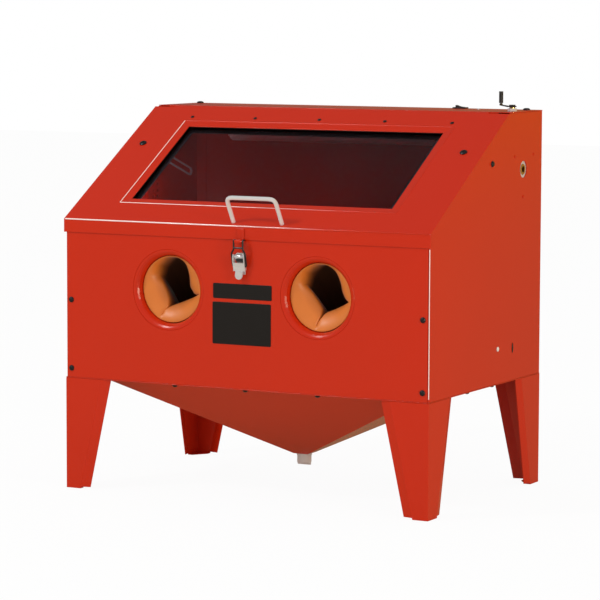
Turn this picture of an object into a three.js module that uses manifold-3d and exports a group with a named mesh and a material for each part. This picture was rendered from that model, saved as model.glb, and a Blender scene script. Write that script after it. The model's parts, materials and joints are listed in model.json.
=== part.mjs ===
// Bench sandblast cabinet: a folded sheet-metal booth on four splayed legs, with a
// sloping lid that holds the window, two glove ports in front and a media hopper below.
// Millimetres. +X is the operator's right, the front faces -Y, +Z is up.
import * as THREE from 'three';
import { mergeVertices } from 'three/addons/utils/BufferGeometryUtils.js';
import Module from 'manifold-3d';

const wasm = await Module();
wasm.setup();

// ---------------------------------------------------------------- driving sizes
const WIDTH = 695;
const DEPTH = 455;
const HEIGHT = 656; // floor to the flat top panel
const FLOOR_CLEARANCE = 193; // floor to the underside of the hopper's flange
const FRONT_HEIGHT = 469; // floor to the bend between the lid and its front lip
const TOP_DEPTH = 144;
const SHEET = 1.5;
const GAP = 0.3; // clearance between pieces that touch
const FOLD_RADIUS = 3;

const CORNER_FLANGE = 22; // upright flanges of the side panels
const FLOOR_FLANGE = 24; // inward flange around the booth's open floor
const SLOPE_FLANGE = 16; // inward flange under the lid's seal

const LID_OVERHANG = 2;
const LID_LIP = 23;
const LID_SKIRT = 4;
const LID_STANDOFF = 4; // lid's outer skin down to the panels' edges
const LID_HINGE_ROOM = 5; // lid's upper edge back from the crease

const WINDOW_HALF_WIDTH = 265;
const WINDOW_LOW = 55; // distances up the slope from the front bend
const WINDOW_HIGH = 315;
const WINDOW_BAND = 15;
const WINDOW_BAND_DROP = 2;
const GLASS_THICKNESS = 4;
const GLASS_LAP = 12;
const WINDOW_SEAL_THICKNESS = 2;
const WINDOW_SEAL_WIDTH = 9;
const RETAINER_LIP = 30;
const LID_SEAL_WIDTH = 12;

const PORT_SPACING = 285;
const PORT_DROP = 114; // port centres below the lid's front bend
const PORT_HEIGHT = FRONT_HEIGHT - PORT_DROP;
const PORT_FLARE_RADIUS = 68.5;
const PORT_BORE_RADIUS = 58;
const PORT_FLARE_DEPTH = 13;
const PORT_COLLAR_DEPTH = 30;
const PORT_SIDES = 40; // facets shared by the collar, the cuff and the clamp
const GLOVE_WALL = 2;
const GLOVE_LINING = 1.5;
const SLEEVE_REACH = 79; // how far the sleeve runs back from its elbow
const SLEEVE_REST = 8.3; // its end stops just above the grate
const SLEEVE_END_RADIUS = 42;
const CLAMP_WIDTH = 10;

const HINGE_RADIUS = 3;
const HINGE_BORE = 1.5;
const HINGE_PIN_RADIUS = 1.2;
const HINGE_LENGTH = 620;
const HINGE_KNUCKLES = 7;
const HINGE_LEAF = 38;
const HINGE_SHEET = 1.2;
const HINGE_DEPTH = 4; // axis below the crease
const HINGE_SETBACK = 1.1; // axis behind the crease

const HANDLE_OFFSET = 27; // middle of the handle, right of the middle of the lid
const HANDLE_SPACING = 92;
const HANDLE_REACH = 50;
const HANDLE_RADIUS = 3.6;
const HANDLE_BEND = 11;
const HANDLE_FOOT = 10; // feet up the slope from the front bend

const STAY_LID_OFFSET = 313; // lid bolts from the middle
const STAY_LID_REACH = 238; // lid bolts up the slope

const STAY_STUD_RADIUS = 4;
const STAY_PLANE = 300; // inner face of the stay arm
const STAY_THICKNESS = 2.5;
const STAY_WIDTH = 15;
const STAY_PIVOT_DEPTH = SHEET + STAY_WIDTH / 2; // under the lid's outer skin
const STAY_STUD = { y: DEPTH / 2 - TOP_DEPTH - 68.5, z: HEIGHT - 85 };
const STAY_LENGTH = 150;

const LATCH_PIVOT = { out: 8, z: FRONT_HEIGHT - 51 };
const LATCH_BAIL_PIVOT = { out: 6.5, z: LATCH_PIVOT.z - 16 };
const LATCH_REACH = 12; // hooks out from the front panel
const LATCH_HOOK_HEIGHT = FRONT_HEIGHT - 26;
const LATCH_HOOK_OFFSET = 8.6;
const LATCH_WIRE = 1.5;

const HOPPER_INSET = 40;
const HOPPER_TIP = 56;
const HOPPER_MOUTH = 14; // half width of the square mouth
const DRAIN_RADIUS = 12.5;
const DRAIN_BORE = 9;

const LEG = {
  frontTop: 71, frontFoot: 28, sideTop: 79, sideFoot: 35, lip: 17, lipFold: 4, tab: 26,
};

const GRATE_HEIGHT = 214;
const GRATE_THICKNESS = 3;
const GRATE_HALF = { x: 320, y: 198 };
const GRATE_SLOTS = { across: 10, deep: 5, rib: 12 };

const INLET = { y: DEPTH / 2 - 80.5, z: HEIGHT - 100, hole: 14.5 };
const VALVE = { x: WIDTH / 2 - 14.5, y: DEPTH / 2 - 98.5, stem: 5, body: 9 };
const VALVE_GRIP = { x: VALVE.x - 21, low: HEIGHT + 12, high: HEIGHT + 34, radius: 3.6 };
const SWITCH = { x: WIDTH / 2 - 150.5, y: DEPTH / 2 - 15.5, halfX: 10, halfY: 5.8, depth: 20 };
const GLAND = { x: WIDTH / 2 - 97.5, z: HEIGHT - 56, thread: 7, nut: 11, reach: 14, bore: 3.5 };
const SCREW = { x: WIDTH / 2 - 11.5, heights: [210, FRONT_HEIGHT - 140], head: 5, shank: 2.5 };

const BRIGHT_RED = 0xc13525;
const WARM_RED = 0xcb4b28;

// ---------------------------------------------------------------- solids
function asSolid(geometry) {
  const bare = geometry.index ? geometry.toNonIndexed() : geometry.clone();
  bare.deleteAttribute('normal');
  bare.deleteAttribute('uv');
  const merged = mergeVertices(bare, 1e-4);
  return new wasm.Manifold(new wasm.Mesh({
    numProp: 3,
    vertProperties: merged.attributes.position.array,
    triVerts: new Uint32Array(merged.index.array),
  }));
}

function asGeometry(solid) {
  const mesh = solid.getMesh();
  const geometry = new THREE.BufferGeometry();
  geometry.setAttribute('position', new THREE.BufferAttribute(mesh.vertProperties, 3));
  geometry.setIndex(new THREE.BufferAttribute(mesh.triVerts, 1));
  return geometry;
}

function joined(solids) {
  return solids.reduce((whole, solid) => whole.add(solid));
}

function box(low, high) {
  const size = high.map((value, i) => value - low[i]);
  const middle = high.map((value, i) => (value + low[i]) / 2);
  return asSolid(new THREE.BoxGeometry(...size).translate(...middle));
}

// Turns a shape made about +Y to lie along `direction`, starting at `origin`.
function laid(geometry, origin, direction) {
  const turn = new THREE.Quaternion().setFromUnitVectors(
    new THREE.Vector3(0, 1, 0),
    new THREE.Vector3(...direction).normalize(),
  );
  return geometry.applyQuaternion(turn).translate(...origin);
}

// A cylinder or cone between two points.
function rod(from, to, radius, sides = 20, endRadius = radius) {
  const along = to.map((value, i) => value - from[i]);
  const length = Math.hypot(...along);
  const geometry = new THREE.CylinderGeometry(endRadius, radius, length, sides);
  geometry.translate(0, length / 2, 0);
  return asSolid(laid(geometry, from, along));
}

function ball(centre, radius, sides = 20) {
  const geometry = new THREE.SphereGeometry(radius, sides, sides / 2);
  return asSolid(geometry.translate(...centre));
}

function extruded(points, length) {
  const shape = new THREE.Shape(points.map(([a, b]) => new THREE.Vector2(a, b)));
  return new THREE.ExtrudeGeometry(shape, { depth: length, bevelEnabled: false });
}

// Outlines are drawn as [y, z] for X, [x, z] for Y and [x, y] for Z.
function prismX(points, from, to) {
  const place = new THREE.Matrix4().set(0, 0, 1, from, 1, 0, 0, 0, 0, 1, 0, 0, 0, 0, 0, 1);
  return asSolid(extruded(points, to - from).applyMatrix4(place));
}

function prismY(points, from, to) {
  const place = new THREE.Matrix4().set(1, 0, 0, 0, 0, 0, -1, to, 0, 1, 0, 0, 0, 0, 0, 1);
  return asSolid(extruded(points, to - from).applyMatrix4(place));
}

function prismZ(points, from, to) {
  return asSolid(extruded(points, to - from).translate(0, 0, from));
}

// A solid between two four-cornered rings, the first ring below the second.
function block(low, high) {
  const points = [...low, ...high];
  const faces = [
    [0, 2, 1], [0, 3, 2], [4, 5, 6], [4, 6, 7],
    [0, 1, 5], [0, 5, 4], [1, 2, 6], [1, 6, 5],
    [2, 3, 7], [2, 7, 6], [3, 0, 4], [3, 4, 7],
  ];
  const corners = faces.flat().flatMap((index) => points[index]);
  const geometry = new THREE.BufferGeometry();
  geometry.setAttribute('position', new THREE.BufferAttribute(new Float32Array(corners), 3));
  return asSolid(geometry);
}

function rectangle(halfX, halfY, z) {
  return [[-halfX, -halfY, z], [halfX, -halfY, z], [halfX, halfY, z], [-halfX, halfY, z]];
}

// A ring or cup: `profile` holds [radius, distance along the axis], anticlockwise.
function turned(profile, origin, direction, sides = 28) {
  const points = profile.map(([radius, along]) => new THREE.Vector2(radius, along));
  return asSolid(laid(new THREE.LatheGeometry(points, sides), origin, direction));
}

function ring(inner, outer, from, to, origin, direction, sides = 28) {
  const profile = [[inner, from], [outer, from], [outer, to], [inner, to], [inner, from]];
  return turned(profile, origin, direction, sides);
}

function circle(radius, sides) {
  const points = [];
  for (let i = 0; i < sides; i += 1) {
    const angle = (2 * Math.PI * i) / sides;
    points.push([radius * Math.cos(angle), radius * Math.sin(angle)]);
  }
  return points;
}

// Rounds every inside point of a path with an arc that leaves the runs `radius` early.
function roundedPath(points, radius, steps = 4) {
  const corners = points.map((point) => new THREE.Vector3(...point));
  const path = [corners[0]];
  for (let i = 1; i < corners.length - 1; i += 1) {
    const start = corners[i].clone().sub(corners[i - 1]).setLength(radius);
    const end = corners[i + 1].clone().sub(corners[i]).setLength(radius);
    const bend = new THREE.QuadraticBezierCurve3(
      corners[i].clone().sub(start),
      corners[i],
      corners[i].clone().add(end),
    );
    path.push(...bend.getPoints(steps));
  }
  path.push(corners[corners.length - 1]);
  return path;
}

// A curve whose sections sit at the given points and nowhere else.
class Polyline extends THREE.Curve {
  constructor(points) {
    super();
    this.points = points;
  }

  getPointAt(u) {
    const place = u * (this.points.length - 1);
    const index = Math.min(Math.floor(place), this.points.length - 2);
    return this.points[index].clone().lerp(this.points[index + 1], place - index);
  }

  getPoint(u) {
    return this.getPointAt(u);
  }

  getTangentAt(u) {
    const last = this.points.length - 1;
    const index = Math.round(u * last);
    const before = this.points[Math.max(index - 1, 0)];
    const after = this.points[Math.min(index + 1, last)];
    return after.clone().sub(before).normalize();
  }

  getTangent(u) {
    return this.getTangentAt(u);
  }
}

function bentRod(points, radius, bend, sides = 10) {
  const path = roundedPath(points, bend);
  const section = new THREE.Shape(circle(radius, sides).map(([x, y]) => new THREE.Vector2(x, y)));
  return asSolid(new THREE.ExtrudeGeometry(section, {
    steps: path.length - 1,
    extrudePath: new Polyline(path),
    bevelEnabled: false,
  }));
}

// The same solid on the other side of the plane X = 0 (axis 0) or Y = 0 (axis 1).
function mirrored(solid, axis) {
  const mesh = solid.getMesh();
  const points = Float32Array.from(mesh.vertProperties);
  for (let i = axis; i < points.length; i += 3) points[i] = -points[i];
  const triangles = Uint32Array.from(mesh.triVerts);
  for (let i = 0; i < triangles.length; i += 3) {
    [triangles[i], triangles[i + 1]] = [triangles[i + 1], triangles[i]];
  }
  return new wasm.Manifold(new wasm.Mesh({
    numProp: 3,
    vertProperties: points,
    triVerts: triangles,
  }));
}

// ---------------------------------------------------------------- places shared by pieces
const cabinet = new THREE.Group();
const halfWidth = WIDTH / 2;
const front = -DEPTH / 2;
const back = DEPTH / 2;
const bodyLow = FLOOR_CLEARANCE + SHEET + GAP;
const lidFront = front - LID_OVERHANG;
const crease = { y: back - TOP_DEPTH, z: HEIGHT };
const slopeLength = Math.hypot(crease.y - lidFront, crease.z - FRONT_HEIGHT);
const slopeAngle = Math.atan2(crease.z - FRONT_HEIGHT, crease.y - lidFront);
const hinge = { y: crease.y + HINGE_SETBACK, z: crease.z - HINGE_DEPTH };
const topPanelFront = hinge.y + HINGE_RADIUS + GAP;
const insideFlanges = halfWidth - CORNER_FLANGE - GAP;

// World [y, z] of a point v up the slope from the front bend and w out from the lid's skin.
function fromSlope(v, w) {
  const y = lidFront + v * Math.cos(slopeAngle) - w * Math.sin(slopeAngle);
  const z = FRONT_HEIGHT + v * Math.sin(slopeAngle) + w * Math.cos(slopeAngle);
  return [y, z];
}

// The reverse: [v, w] of a world point.
function toSlope(y, z) {
  const acrossY = y - lidFront;
  const upZ = z - FRONT_HEIGHT;
  return [
    acrossY * Math.cos(slopeAngle) + upZ * Math.sin(slopeAngle),
    upZ * Math.cos(slopeAngle) - acrossY * Math.sin(slopeAngle),
  ];
}

// Height, at depth y, of the plane that lies w out from the lid's skin.
function slopeHeight(y, w) {
  return FRONT_HEIGHT + (y - lidFront) * Math.tan(slopeAngle) + w / Math.cos(slopeAngle);
}

// The lid's own frame: +Y up the slope, +Z out of its skin.
const lid = new THREE.Group();
lid.position.set(0, lidFront, FRONT_HEIGHT);
lid.rotation.x = slopeAngle;
cabinet.add(lid);

function add(name, solid, colour, roughness, metalness, parent = cabinet) {
  const material = new THREE.MeshStandardMaterial({ color: colour, roughness, metalness });
  const mesh = new THREE.Mesh(asGeometry(solid), material);
  mesh.name = name;
  parent.add(mesh);
}

const painted = (name, solid, parent) => add(name, solid, BRIGHT_RED, 0.35, 0, parent);
const plated = (name, solid, parent) => add(name, solid, 0xb9bcc0, 0.3, 1, parent);
const brass = (name, solid, parent) => add(name, solid, 0xb5914c, 0.35, 1, parent);
const black = (name, solid, parent) => add(name, solid, 0x1c1c1e, 0.6, 0, parent);

// ---------------------------------------------------------------- booth panels
// The drawn port: the sheet rolls in from the flare to a short collar for the glove cuff.
function portCollar(x) {
  const steps = 5;
  const roll = PORT_FLARE_RADIUS - PORT_BORE_RADIUS;
  const flare = (offset) => {
    const points = [];
    for (let i = 0; i <= steps; i += 1) {
      const angle = (Math.PI / 2) * (i / steps);
      points.push([
        PORT_FLARE_RADIUS + offset - roll * Math.sin(angle),
        offset + PORT_FLARE_DEPTH * (1 - Math.cos(angle)),
      ]);
    }
    return points;
  };
  const profile = [
    ...flare(0),
    [PORT_BORE_RADIUS, PORT_COLLAR_DEPTH],
    [PORT_BORE_RADIUS + SHEET, PORT_COLLAR_DEPTH],
    ...flare(SHEET).reverse(),
  ];
  profile.push(profile[0]);
  return turned(profile.reverse(), [x, front, PORT_HEIGHT], [0, 1, 0], PORT_SIDES);
}

function frontPanel() {
  const edge = halfWidth - FOLD_RADIUS;
  const top = slopeHeight(front, -LID_STANDOFF);
  const floorFlange = box(
    [-insideFlanges, front, bodyLow],
    [insideFlanges, front + FLOOR_FLANGE, bodyLow + SHEET],
  );
  const sealFlange = prismX([
    [front, top],
    [front, top - SHEET],
    [front + SLOPE_FLANGE, slopeHeight(front + SLOPE_FLANGE, -LID_STANDOFF) - SHEET],
    [front + SLOPE_FLANGE, slopeHeight(front + SLOPE_FLANGE, -LID_STANDOFF)],
  ], -insideFlanges, insideFlanges);
  let panel = box([-edge, front, bodyLow], [edge, front + SHEET, top - GAP]);
  panel = panel.add(floorFlange).add(sealFlange);
  for (const side of [-1, 1]) {
    const x = (side * PORT_SPACING) / 2;
    const hole = rod(
      [x, front - 1, PORT_HEIGHT],
      [x, front + SHEET + 1, PORT_HEIGHT],
      PORT_FLARE_RADIUS + SHEET / 2,
      PORT_SIDES,
    );
    panel = panel.subtract(hole).add(portCollar(x));
    const screwX = side * SCREW.x;
    for (const z of SCREW.heights) {
      panel = panel.subtract(rod(
        [screwX, front - 1, z],
        [screwX, front + 5, z],
        SCREW.shank + GAP,
        12,
      ));
    }
  }
  return panel;
}

// Side view of a panel between the floor flange, the back, the top and the slope.
function sideOutline(frontEdge) {
  const top = HEIGHT - SHEET - GAP;
  const rear = back - SHEET - GAP;
  const slopeEnd = fromSlope(toSlope(crease.y, crease.z)[0], -LID_STANDOFF);
  const topStart = slopeEnd[0] + (top - slopeEnd[1]) / Math.tan(slopeAngle);
  return [
    [frontEdge, bodyLow],
    [rear, bodyLow],
    [rear, top],
    [topStart, top],
    [frontEdge, slopeHeight(frontEdge, -LID_STANDOFF)],
  ];
}

function sidePanel(side) {
  const skin = front + SHEET + GAP; // the corner flange lies behind the front panel
  const rear = back - SHEET - GAP;
  const corner = [];
  for (let i = 0; i <= 4; i += 1) {
    const angle = (Math.PI / 2) * (i / 4);
    corner.push([
      halfWidth - FOLD_RADIUS * (1 - Math.sin(angle)),
      skin + FOLD_RADIUS * (1 - Math.cos(angle)),
    ]);
  }
  const plan = [
    [halfWidth - CORNER_FLANGE, skin],
    ...corner,
    [halfWidth, rear],
    [halfWidth - CORNER_FLANGE, rear],
    [halfWidth - CORNER_FLANGE, rear - SHEET],
    [halfWidth - SHEET, rear - SHEET],
    [halfWidth - SHEET, skin + FOLD_RADIUS],
    [halfWidth - FOLD_RADIUS, skin + SHEET],
    [halfWidth - CORNER_FLANGE, skin + SHEET],
  ];
  const floorFlange = box(
    [halfWidth - FLOOR_FLANGE, front + FLOOR_FLANGE + GAP, bodyLow],
    [halfWidth - SHEET / 2, back - FLOOR_FLANGE - GAP, bodyLow + SHEET],
  );
  const flangeLow = front + SLOPE_FLANGE + GAP;
  const flangeHigh = topPanelFront - 2 * SLOPE_FLANGE;
  const drop = SHEET / Math.cos(slopeAngle);
  const slopeFlange = prismX([
    [flangeLow, slopeHeight(flangeLow, -LID_STANDOFF) - drop],
    [flangeHigh, slopeHeight(flangeHigh, -LID_STANDOFF) - drop],
    [flangeHigh, slopeHeight(flangeHigh, -LID_STANDOFF)],
    [flangeLow, slopeHeight(flangeLow, -LID_STANDOFF)],
  ], halfWidth - SLOPE_FLANGE, halfWidth - SHEET / 2);
  let panel = prismZ(plan, bodyLow, HEIGHT);
  panel = panel.intersect(prismX(sideOutline(skin - 1), halfWidth - CORNER_FLANGE, halfWidth));
  panel = panel.add(floorFlange).add(slopeFlange);
  const through = (y, z, radius, sides) => rod(
    [halfWidth - 10, y, z],
    [halfWidth + 5, y, z],
    radius,
    sides,
  );
  panel = panel.subtract(through(STAY_STUD.y, STAY_STUD.z, STAY_STUD_RADIUS + GAP, 16));
  for (const z of SCREW.heights) {
    const hole = rod([SCREW.x, front - 1, z], [SCREW.x, front + 5, z], SCREW.shank + GAP, 12);
    panel = panel.subtract(hole);
  }
  if (side < 0) return mirrored(panel, 0);
  return panel.subtract(through(INLET.y, INLET.z, INLET.hole, 32));
}

function backPanel() {
  const top = HEIGHT - SHEET - GAP;
  const sheet = box([1 - halfWidth, back - SHEET, bodyLow], [halfWidth - 1, back, top]);
  const floorFlange = box(
    [-insideFlanges, back - FLOOR_FLANGE, bodyLow],
    [insideFlanges, back, bodyLow + SHEET],
  );
  const hole = rod([GLAND.x, back - 5, GLAND.z], [GLAND.x, back + 5, GLAND.z], GLAND.thread + GAP);
  return sheet.add(floorFlange).subtract(hole);
}

function topPanel() {
  const sheet = box([-halfWidth, topPanelFront, HEIGHT - SHEET], [halfWidth, back, HEIGHT]);
  const turnDown = box(
    [-insideFlanges, topPanelFront, HEIGHT - HINGE_DEPTH - FLOOR_FLANGE],
    [insideFlanges, topPanelFront + SHEET, HEIGHT],
  );
  const valveHole = rod(
    [VALVE.x, VALVE.y, HEIGHT - 5],
    [VALVE.x, VALVE.y, HEIGHT + 5],
    VALVE.stem + GAP,
  );
  const switchHole = box(
    [SWITCH.x - SWITCH.halfX - GAP, SWITCH.y - SWITCH.halfY - GAP, HEIGHT - 5],
    [SWITCH.x + SWITCH.halfX + GAP, SWITCH.y + SWITCH.halfY + GAP, HEIGHT + 5],
  );
  return sheet.add(turnDown).subtract(valveHole).subtract(switchHole);
}

painted('front_panel', frontPanel());
painted('side_panel_left', sidePanel(-1));
add('side_panel_right', sidePanel(1), WARM_RED, 0.35, 0);
painted('back_panel', backPanel());
painted('top_panel', topPanel());

function panelScrew(x, z) {
  const head = SCREW.head;
  const profile = [[0, 0], [head, 0]];
  for (let i = 1; i <= 3; i += 1) {
    const angle = (Math.PI / 2) * (i / 4);
    profile.push([head * Math.cos(angle), 3 * Math.sin(angle)]);
  }
  profile.push([0, 3]);
  const dome = turned(profile, [x, front - GAP, z], [0, -1, 0], 16);
  return dome.add(rod([x, front - 1, z], [x, front + 10, z], SCREW.shank, 12));
}
SCREW.heights.forEach((z, level) => {
  const place = level ? 'upper' : 'lower';
  black(`panel_screw_left_${place}`, panelScrew(-SCREW.x, z));
  black(`panel_screw_right_${place}`, panelScrew(SCREW.x, z));
});

// ---------------------------------------------------------------- hopper and drain
function hopper() {
  const topX = halfWidth - HOPPER_INSET;
  const topY = back - HOPPER_INSET;
  const top = FLOOR_CLEARANCE + SHEET;
  const flange = box([-halfWidth, front, FLOOR_CLEARANCE], [halfWidth, back, top]);
  const outer = block(
    rectangle(HOPPER_MOUTH, HOPPER_MOUTH, HOPPER_TIP),
    rectangle(topX, topY, FLOOR_CLEARANCE + SHEET / 2),
  );
  const wall = 3 * SHEET; // clear of the shallow side walls by SHEET at right angles
  const inner = block(
    rectangle(HOPPER_MOUTH - 2, HOPPER_MOUTH - 2, HOPPER_TIP + SHEET),
    rectangle(topX - wall, topY - wall, top + 1),
  );
  const bore = rod([0, 0, HOPPER_TIP - 5], [0, 0, HOPPER_TIP + 10], DRAIN_BORE);
  return outer.add(flange).subtract(inner).subtract(bore);
}
painted('hopper', hopper());

const drainTop = HOPPER_TIP - GAP;
const spoutLength = 8;
add('drain_spout', joined([
  ring(DRAIN_BORE, DRAIN_RADIUS + 1, -3, 0, [0, 0, drainTop], [0, 0, 1]),
  ring(DRAIN_BORE, DRAIN_RADIUS - 2, -spoutLength, -1, [0, 0, drainTop], [0, 0, 1]),
]), 0xd9d2c8, 0.5, 0);

function drainCap() {
  const inside = DRAIN_RADIUS - 2 + GAP;
  const cup = turned([
    [0, -16], [DRAIN_RADIUS, -16], [DRAIN_RADIUS, -3 - GAP], [inside, -3 - GAP],
    [inside, -spoutLength - GAP], [0, -spoutLength - GAP],
  ], [0, 0, drainTop], [0, 0, 1], 24);
  const grip = box([-DRAIN_RADIUS, -1.5, drainTop - 20], [DRAIN_RADIUS, 1.5, drainTop - 14]);
  return cup.add(grip);
}
add('drain_cap', drainCap(), 0xcfc8bd, 0.5, 0);

// ---------------------------------------------------------------- legs
// The right rear leg; the others are its mirror images.
function leg() {
  const top = FLOOR_CLEARANCE - GAP;
  const faceY = prismY([
    [halfWidth, 0], [halfWidth, top], [halfWidth - LEG.frontTop, top],
    [halfWidth - LEG.frontFoot, 0],
  ], back - SHEET, back);
  const faceX = prismX([
    [back, 0], [back, top], [back - LEG.sideTop, top], [back - LEG.sideFoot, 0],
  ], halfWidth - SHEET, halfWidth);
  const lipCut = 3; // the lips stop short of the floor
  const lap = 0.5;
  const lipY = (z, width) => {
    const fold = halfWidth - width + lap;
    const end = halfWidth - width - LEG.lip;
    return [
      [end, back - SHEET - LEG.lipFold, z], [fold, back - SHEET, z],
      [fold, back, z], [end, back - LEG.lipFold, z],
    ];
  };
  const lipX = (z, width) => {
    const fold = back - width + lap;
    const end = back - width - LEG.lip;
    return [
      [halfWidth - SHEET, fold, z], [halfWidth - SHEET - LEG.lipFold, end, z],
      [halfWidth - LEG.lipFold, end, z], [halfWidth, fold, z],
    ];
  };
  const widthAt = (topWidth, footWidth, z) => footWidth + ((topWidth - footWidth) * z) / top;
  const lips = [[lipY, LEG.frontTop, LEG.frontFoot], [lipX, LEG.sideTop, LEG.sideFoot]];
  const folded = lips.map(([lip, topWidth, footWidth]) => block(
    lip(lipCut, widthAt(topWidth, footWidth, lipCut)),
    lip(top, topWidth),
  ));
  const topTab = prismZ([
    [halfWidth, back], [halfWidth - LEG.frontTop, back],
    [halfWidth - LEG.frontTop, back - LEG.tab], [halfWidth - LEG.tab, back - LEG.tab],
    [halfWidth - LEG.tab, back - LEG.sideTop], [halfWidth, back - LEG.sideTop],
  ], top - SHEET, top);
  const footTab = prismZ([
    [halfWidth, back], [halfWidth - LEG.frontFoot, back],
    [halfWidth - LEG.frontFoot, back - 10], [halfWidth - 10, back - LEG.sideFoot],
    [halfWidth, back - LEG.sideFoot],
  ], 0, SHEET);
  return joined([faceY, faceX, ...folded, topTab, footTab]);
}
const rearRightLeg = leg();
const rearLeftLeg = mirrored(rearRightLeg, 0);
painted('leg_front_left', mirrored(rearLeftLeg, 1));
painted('leg_front_right', mirrored(rearRightLeg, 1));
painted('leg_rear_left', rearLeftLeg);
painted('leg_rear_right', rearRightLeg);

// ---------------------------------------------------------------- lid and window
function bands(shiftW) {
  const outer = [
    [-WINDOW_HALF_WIDTH, WINDOW_LOW], [WINDOW_HALF_WIDTH, WINDOW_LOW],
    [WINDOW_HALF_WIDTH, WINDOW_HIGH], [-WINDOW_HALF_WIDTH, WINDOW_HIGH],
  ];
  const towardsMiddle = [[1, 1], [-1, 1], [-1, -1], [1, -1]];
  const inner = outer.map(([x, v], i) => [
    x + WINDOW_BAND * towardsMiddle[i][0],
    v + WINDOW_BAND * towardsMiddle[i][1],
  ]);
  return outer.map((corner, i) => {
    const next = (i + 1) % 4;
    const face = (w) => [
      [...corner, w], [...outer[next], w],
      [...inner[next], w - WINDOW_BAND_DROP], [...inner[i], w - WINDOW_BAND_DROP],
    ];
    return block(face(shiftW - SHEET), face(shiftW));
  });
}

function lidShell() {
  const half = halfWidth + LID_OVERHANG;
  const end = slopeLength - LID_HINGE_ROOM;
  const down = [-Math.sin(slopeAngle), -Math.cos(slopeAngle)];
  const inward = [Math.cos(slopeAngle), -Math.sin(slopeAngle)];
  const lipEnd = [LID_LIP * down[0], LID_LIP * down[1]];
  const lipInside = [lipEnd[0] + SHEET * inward[0], lipEnd[1] + SHEET * inward[1]];
  const rise = (-SHEET - lipInside[1]) / down[1];
  const insideBend = [lipInside[0] + rise * down[0], -SHEET];
  const turnAngle = Math.PI / 2 - slopeAngle;
  const tangent = FOLD_RADIUS * Math.tan(turnAngle / 2);
  const bend = [];
  for (let i = 0; i <= 4; i += 1) {
    const angle = (turnAngle * i) / 4;
    bend.push([
      tangent - FOLD_RADIUS * Math.sin(angle),
      FOLD_RADIUS * (Math.cos(angle) - 1),
    ]);
  }
  const profile = [[end, 0], ...bend, lipEnd, lipInside, insideBend, [end, -SHEET]];
  let shell = prismX(profile, -half, half);
  for (const side of [-1, 1]) {
    const faces = [side * half, side * (half - SHEET)].sort((a, b) => a - b);
    shell = shell.add(box([faces[0], tangent, -LID_SKIRT], [faces[1], end, -SHEET / 2]));
  }
  shell = shell.subtract(box(
    [-WINDOW_HALF_WIDTH, WINDOW_LOW, -SHEET - 1],
    [WINDOW_HALF_WIDTH, WINDOW_HIGH, 1],
  ));
  return joined([shell, ...bands(0)]);
}
painted('lid', lidShell(), lid);

const glassHalf = WINDOW_HALF_WIDTH - WINDOW_BAND + GLASS_LAP;
const glassLow = WINDOW_LOW + WINDOW_BAND - GLASS_LAP;
const glassHigh = WINDOW_HIGH - WINDOW_BAND + GLASS_LAP;
const windowSealTop = -SHEET - WINDOW_BAND_DROP - GAP;
const glassTop = windowSealTop - WINDOW_SEAL_THICKNESS - GAP;
const retainerTop = glassTop - GLASS_THICKNESS - GAP;

function windowFrame(outset, width, low, high) {
  const x = glassHalf + outset;
  const vLow = glassLow - outset;
  const vHigh = glassHigh + outset;
  const inside = box(
    [width - x, vLow + width, low - 1],
    [x - width, vHigh - width, high + 1],
  );
  return box([-x, vLow, low], [x, vHigh, high]).subtract(inside);
}
add('window_glass', box(
  [-glassHalf, glassLow, glassTop - GLASS_THICKNESS],
  [glassHalf, glassHigh, glassTop],
), 0x2a2024, 0.08, 0, lid);
black('window_seal', windowFrame(
  -1,
  WINDOW_SEAL_WIDTH,
  windowSealTop - WINDOW_SEAL_THICKNESS,
  windowSealTop,
), lid);
const retainerOutset = 8;
plated('window_retainer', windowFrame(
  retainerOutset,
  RETAINER_LIP,
  retainerTop - SHEET,
  retainerTop,
).add(windowFrame(retainerOutset, SHEET, retainerTop - SHEET, -SHEET - GAP)), lid);

// The foam seal is a U: its two arms lie on the side panels, its foot on the front panel.
function lidSeal() {
  const outer = halfWidth - SHEET;
  const inner = outer - LID_SEAL_WIDTH;
  const low = 4;
  const high = toSlope(topPanelFront - 2 * SLOPE_FLANGE, slopeHeight(topPanelFront, 0))[0];
  const bottom = GAP - LID_STANDOFF;
  const top = -SHEET - GAP;
  const whole = box([-outer, low, bottom], [outer, high, top]);
  return whole.subtract(box([-inner, low + LID_SEAL_WIDTH, bottom - 1], [inner, high + 1, top + 1]));
}
black('lid_seal', lidSeal(), lid);

function handle() {
  const left = HANDLE_OFFSET - HANDLE_SPACING / 2;
  const right = HANDLE_OFFSET + HANDLE_SPACING / 2;
  return bentRod([
    [left, HANDLE_FOOT, GAP], [left, HANDLE_FOOT, HANDLE_REACH],
    [right, HANDLE_FOOT, HANDLE_REACH], [right, HANDLE_FOOT, GAP],
  ], HANDLE_RADIUS, HANDLE_BEND, 12);
}
plated('lid_handle', handle(), lid);

// ---------------------------------------------------------------- continuous hinge
const knuckleGap = 0.4;
const knucklePitch = HINGE_LENGTH / HINGE_KNUCKLES;

function knuckles(ownedByLid) {
  const own = [];
  const others = [];
  for (let i = 0; i < HINGE_KNUCKLES; i += 1) {
    const start = -HINGE_LENGTH / 2 + i * knucklePitch;
    const span = [start + knuckleGap / 2, start + knucklePitch - knuckleGap / 2];
    const mine = (i % 2 === 1) === ownedByLid;
    (mine ? own : others).push(span);
  }
  return { own, others };
}

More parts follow.
